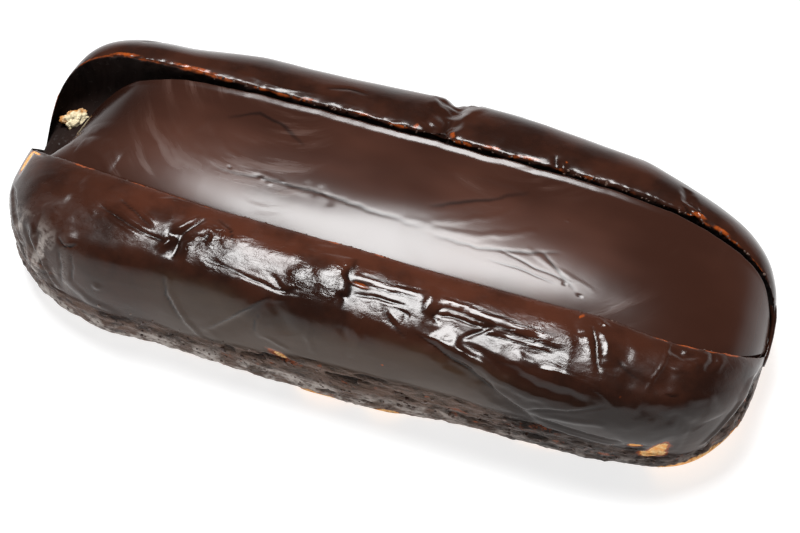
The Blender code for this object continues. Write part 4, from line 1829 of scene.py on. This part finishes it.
STREWN = (
    Strewn(
        Grains("back_rim_beads", 0.9e6, 0.00012, 0.00034, 0.8, 3), False, (-0.048, -0.0004), (0.076, 0.0007),
    ),
    Strewn(
        Grains("front_rim_beads", 0.35e6, 0.00012, 0.00028, 0.7, 5), True, (-0.062, -0.0002), (0.076, 0.0009),
    ),
    Strewn(
        Grains("side_flakes", 0.14e6, 0.00018, 0.00050, 0.30, 7), True, (-0.050, 0.0312), (0.060, 0.0375),
    ),
    Strewn(
        Grains("foot_crumbs", 0.22e6, 0.00014, 0.00036, 0.45, 9), True, (-0.066, 0.0366), (0.066, 0.0400),
    ),
)


# ---------------------------------------------------------------------------------------------------
# Studio
# ---------------------------------------------------------------------------------------------------


@dataclass
class Studio:
    """A pale table, one soft light overhead and the camera."""

    azimuth: float = 20.0
    elevation: float = 52.0
    distance: float = 0.39
    lens: float = 85.0
    light_size: tuple = (0.38, 0.32)
    light_power: float = 12.6
    light_place: tuple = (-0.18, 0.175, 0.98)
    light_aim: tuple = (0.0, 0.0, 0.02)
    floor_glow: float = 0.77
    low_sky: tuple = (0.10, (1.05, 1.05, 1.05, 1))
    high_sky: tuple = (0.40, (0.085, 0.085, 0.09, 1))
    pivot_height: float = 0.015
    aim_x: float = 0.0018
    aim_back: float = 0.0008
    aim_height: float = 0.0028

    def floor(self) -> None:
        """Lay the table."""
        bpy.ops.mesh.primitive_plane_add(size=6.0, location=(0, 0, -0.0002))
        floor = bpy.context.object
        floor.name = "table"
        paint = Paint("white_table")
        paint.set(Base_Color=(0.35, 0.35, 0.35), Roughness=0.35)
        paint.set(Emission_Color=(1.0, 1.0, 1.0), Emission_Strength=self.floor_glow)
        floor.data.materials.append(paint.material)

    def light(self) -> None:
        """Hang the soft light and set the dim surroundings."""
        data = bpy.data.lights.new("soft_box", "AREA")
        data.shape = "RECTANGLE"
        data.size, data.size_y = self.light_size
        data.energy = self.light_power
        lamp = bpy.data.objects.new("soft_box", data)
        lamp.location = self.light_place
        lamp.rotation_euler = (Vector(self.light_aim) - lamp.location).to_track_quat("-Z", "Y").to_euler()
        bpy.context.scene.collection.objects.link(lamp)
        world = bpy.data.worlds.new("room")
        bpy.context.scene.world = world
        world.use_nodes = True
        tree = world.node_tree
        back = tree.nodes["Background"]
        place = tree.nodes.new("ShaderNodeTexCoord")
        split = tree.nodes.new("ShaderNodeSeparateXYZ")
        ramp = tree.nodes.new("ShaderNodeValToRGB")
        tree.links.new(place.outputs["Generated"], split.inputs[0])
        tree.links.new(split.outputs["Z"], ramp.inputs[0])
        tree.links.new(ramp.outputs[0], back.inputs["Color"])
        for stop, (height, colour) in zip(ramp.color_ramp.elements, (self.low_sky, self.high_sky)):
            stop.position, stop.color = height, colour

    def camera(self) -> None:
        """Set the camera above the front and to the right."""
        high, round_z = math.radians(self.elevation), math.radians(self.azimuth)
        level = Vector((math.sin(round_z), -math.cos(round_z), 0)) * math.cos(high)
        toward = level + Vector((0, 0, math.sin(high)))
        data = bpy.data.cameras.new("camera")
        data.lens = self.lens
        data.clip_start = 0.01
        camera = bpy.data.objects.new("camera", data)
        pivot = Vector((0, FORM.middle_y, self.pivot_height))
        camera.location = pivot + toward * self.distance
        target = Vector((self.aim_x, FORM.middle_y + self.aim_back, self.aim_height))
        camera.rotation_euler = (target - camera.location).to_track_quat("-Z", "Y").to_euler()
        bpy.context.scene.collection.objects.link(camera)
        bpy.context.scene.camera = camera

    def build(self) -> None:
        """Set up the whole studio."""
        self.floor()
        self.light()
        self.camera()
        bpy.context.scene.view_settings.view_transform = "Standard"


# ---------------------------------------------------------------------------------------------------
# Everything together
# ---------------------------------------------------------------------------------------------------


def settle_piece(piece: bpy.types.Object, material: bpy.types.Material, slot: Slot, *nodes: str) -> None:
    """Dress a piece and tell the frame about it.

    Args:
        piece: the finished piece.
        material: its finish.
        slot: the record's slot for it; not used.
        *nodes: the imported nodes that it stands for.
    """
    piece.data.materials.clear()
    piece.data.materials.append(material)
    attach(piece, BODY)
    if nodes:
        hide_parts(*nodes)
    log.info("%s: %d faces", piece.name, len(piece.data.polygons))


def main() -> None:
    """Build the studio and every piece."""
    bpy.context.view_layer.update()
    Studio().build()
    skin = RollSkin()
    coat = CoatFinish().paint()
    settle_piece(skin.build(), coat, Slot.COAT, ROLL_NODE)
    beads = BeadFinish().paint()
    for strewn in STREWN:
        strip = skin.strip(strewn.front, strewn.start, strewn.end)
        settle_piece(strewn.grains.grow(strip, beads), beads, Slot.COAT)
    settle_piece(CreamPatch().build(), CreamFinish().paint(), Slot.CREAM)
    settle_piece(EndStrand().build(), coat, Slot.COAT)
    settle_piece(FillingMound().build(), FillingFinish().paint(), Slot.FILLING, FILLING_NODE)


if __name__ == "__main__":
    main()
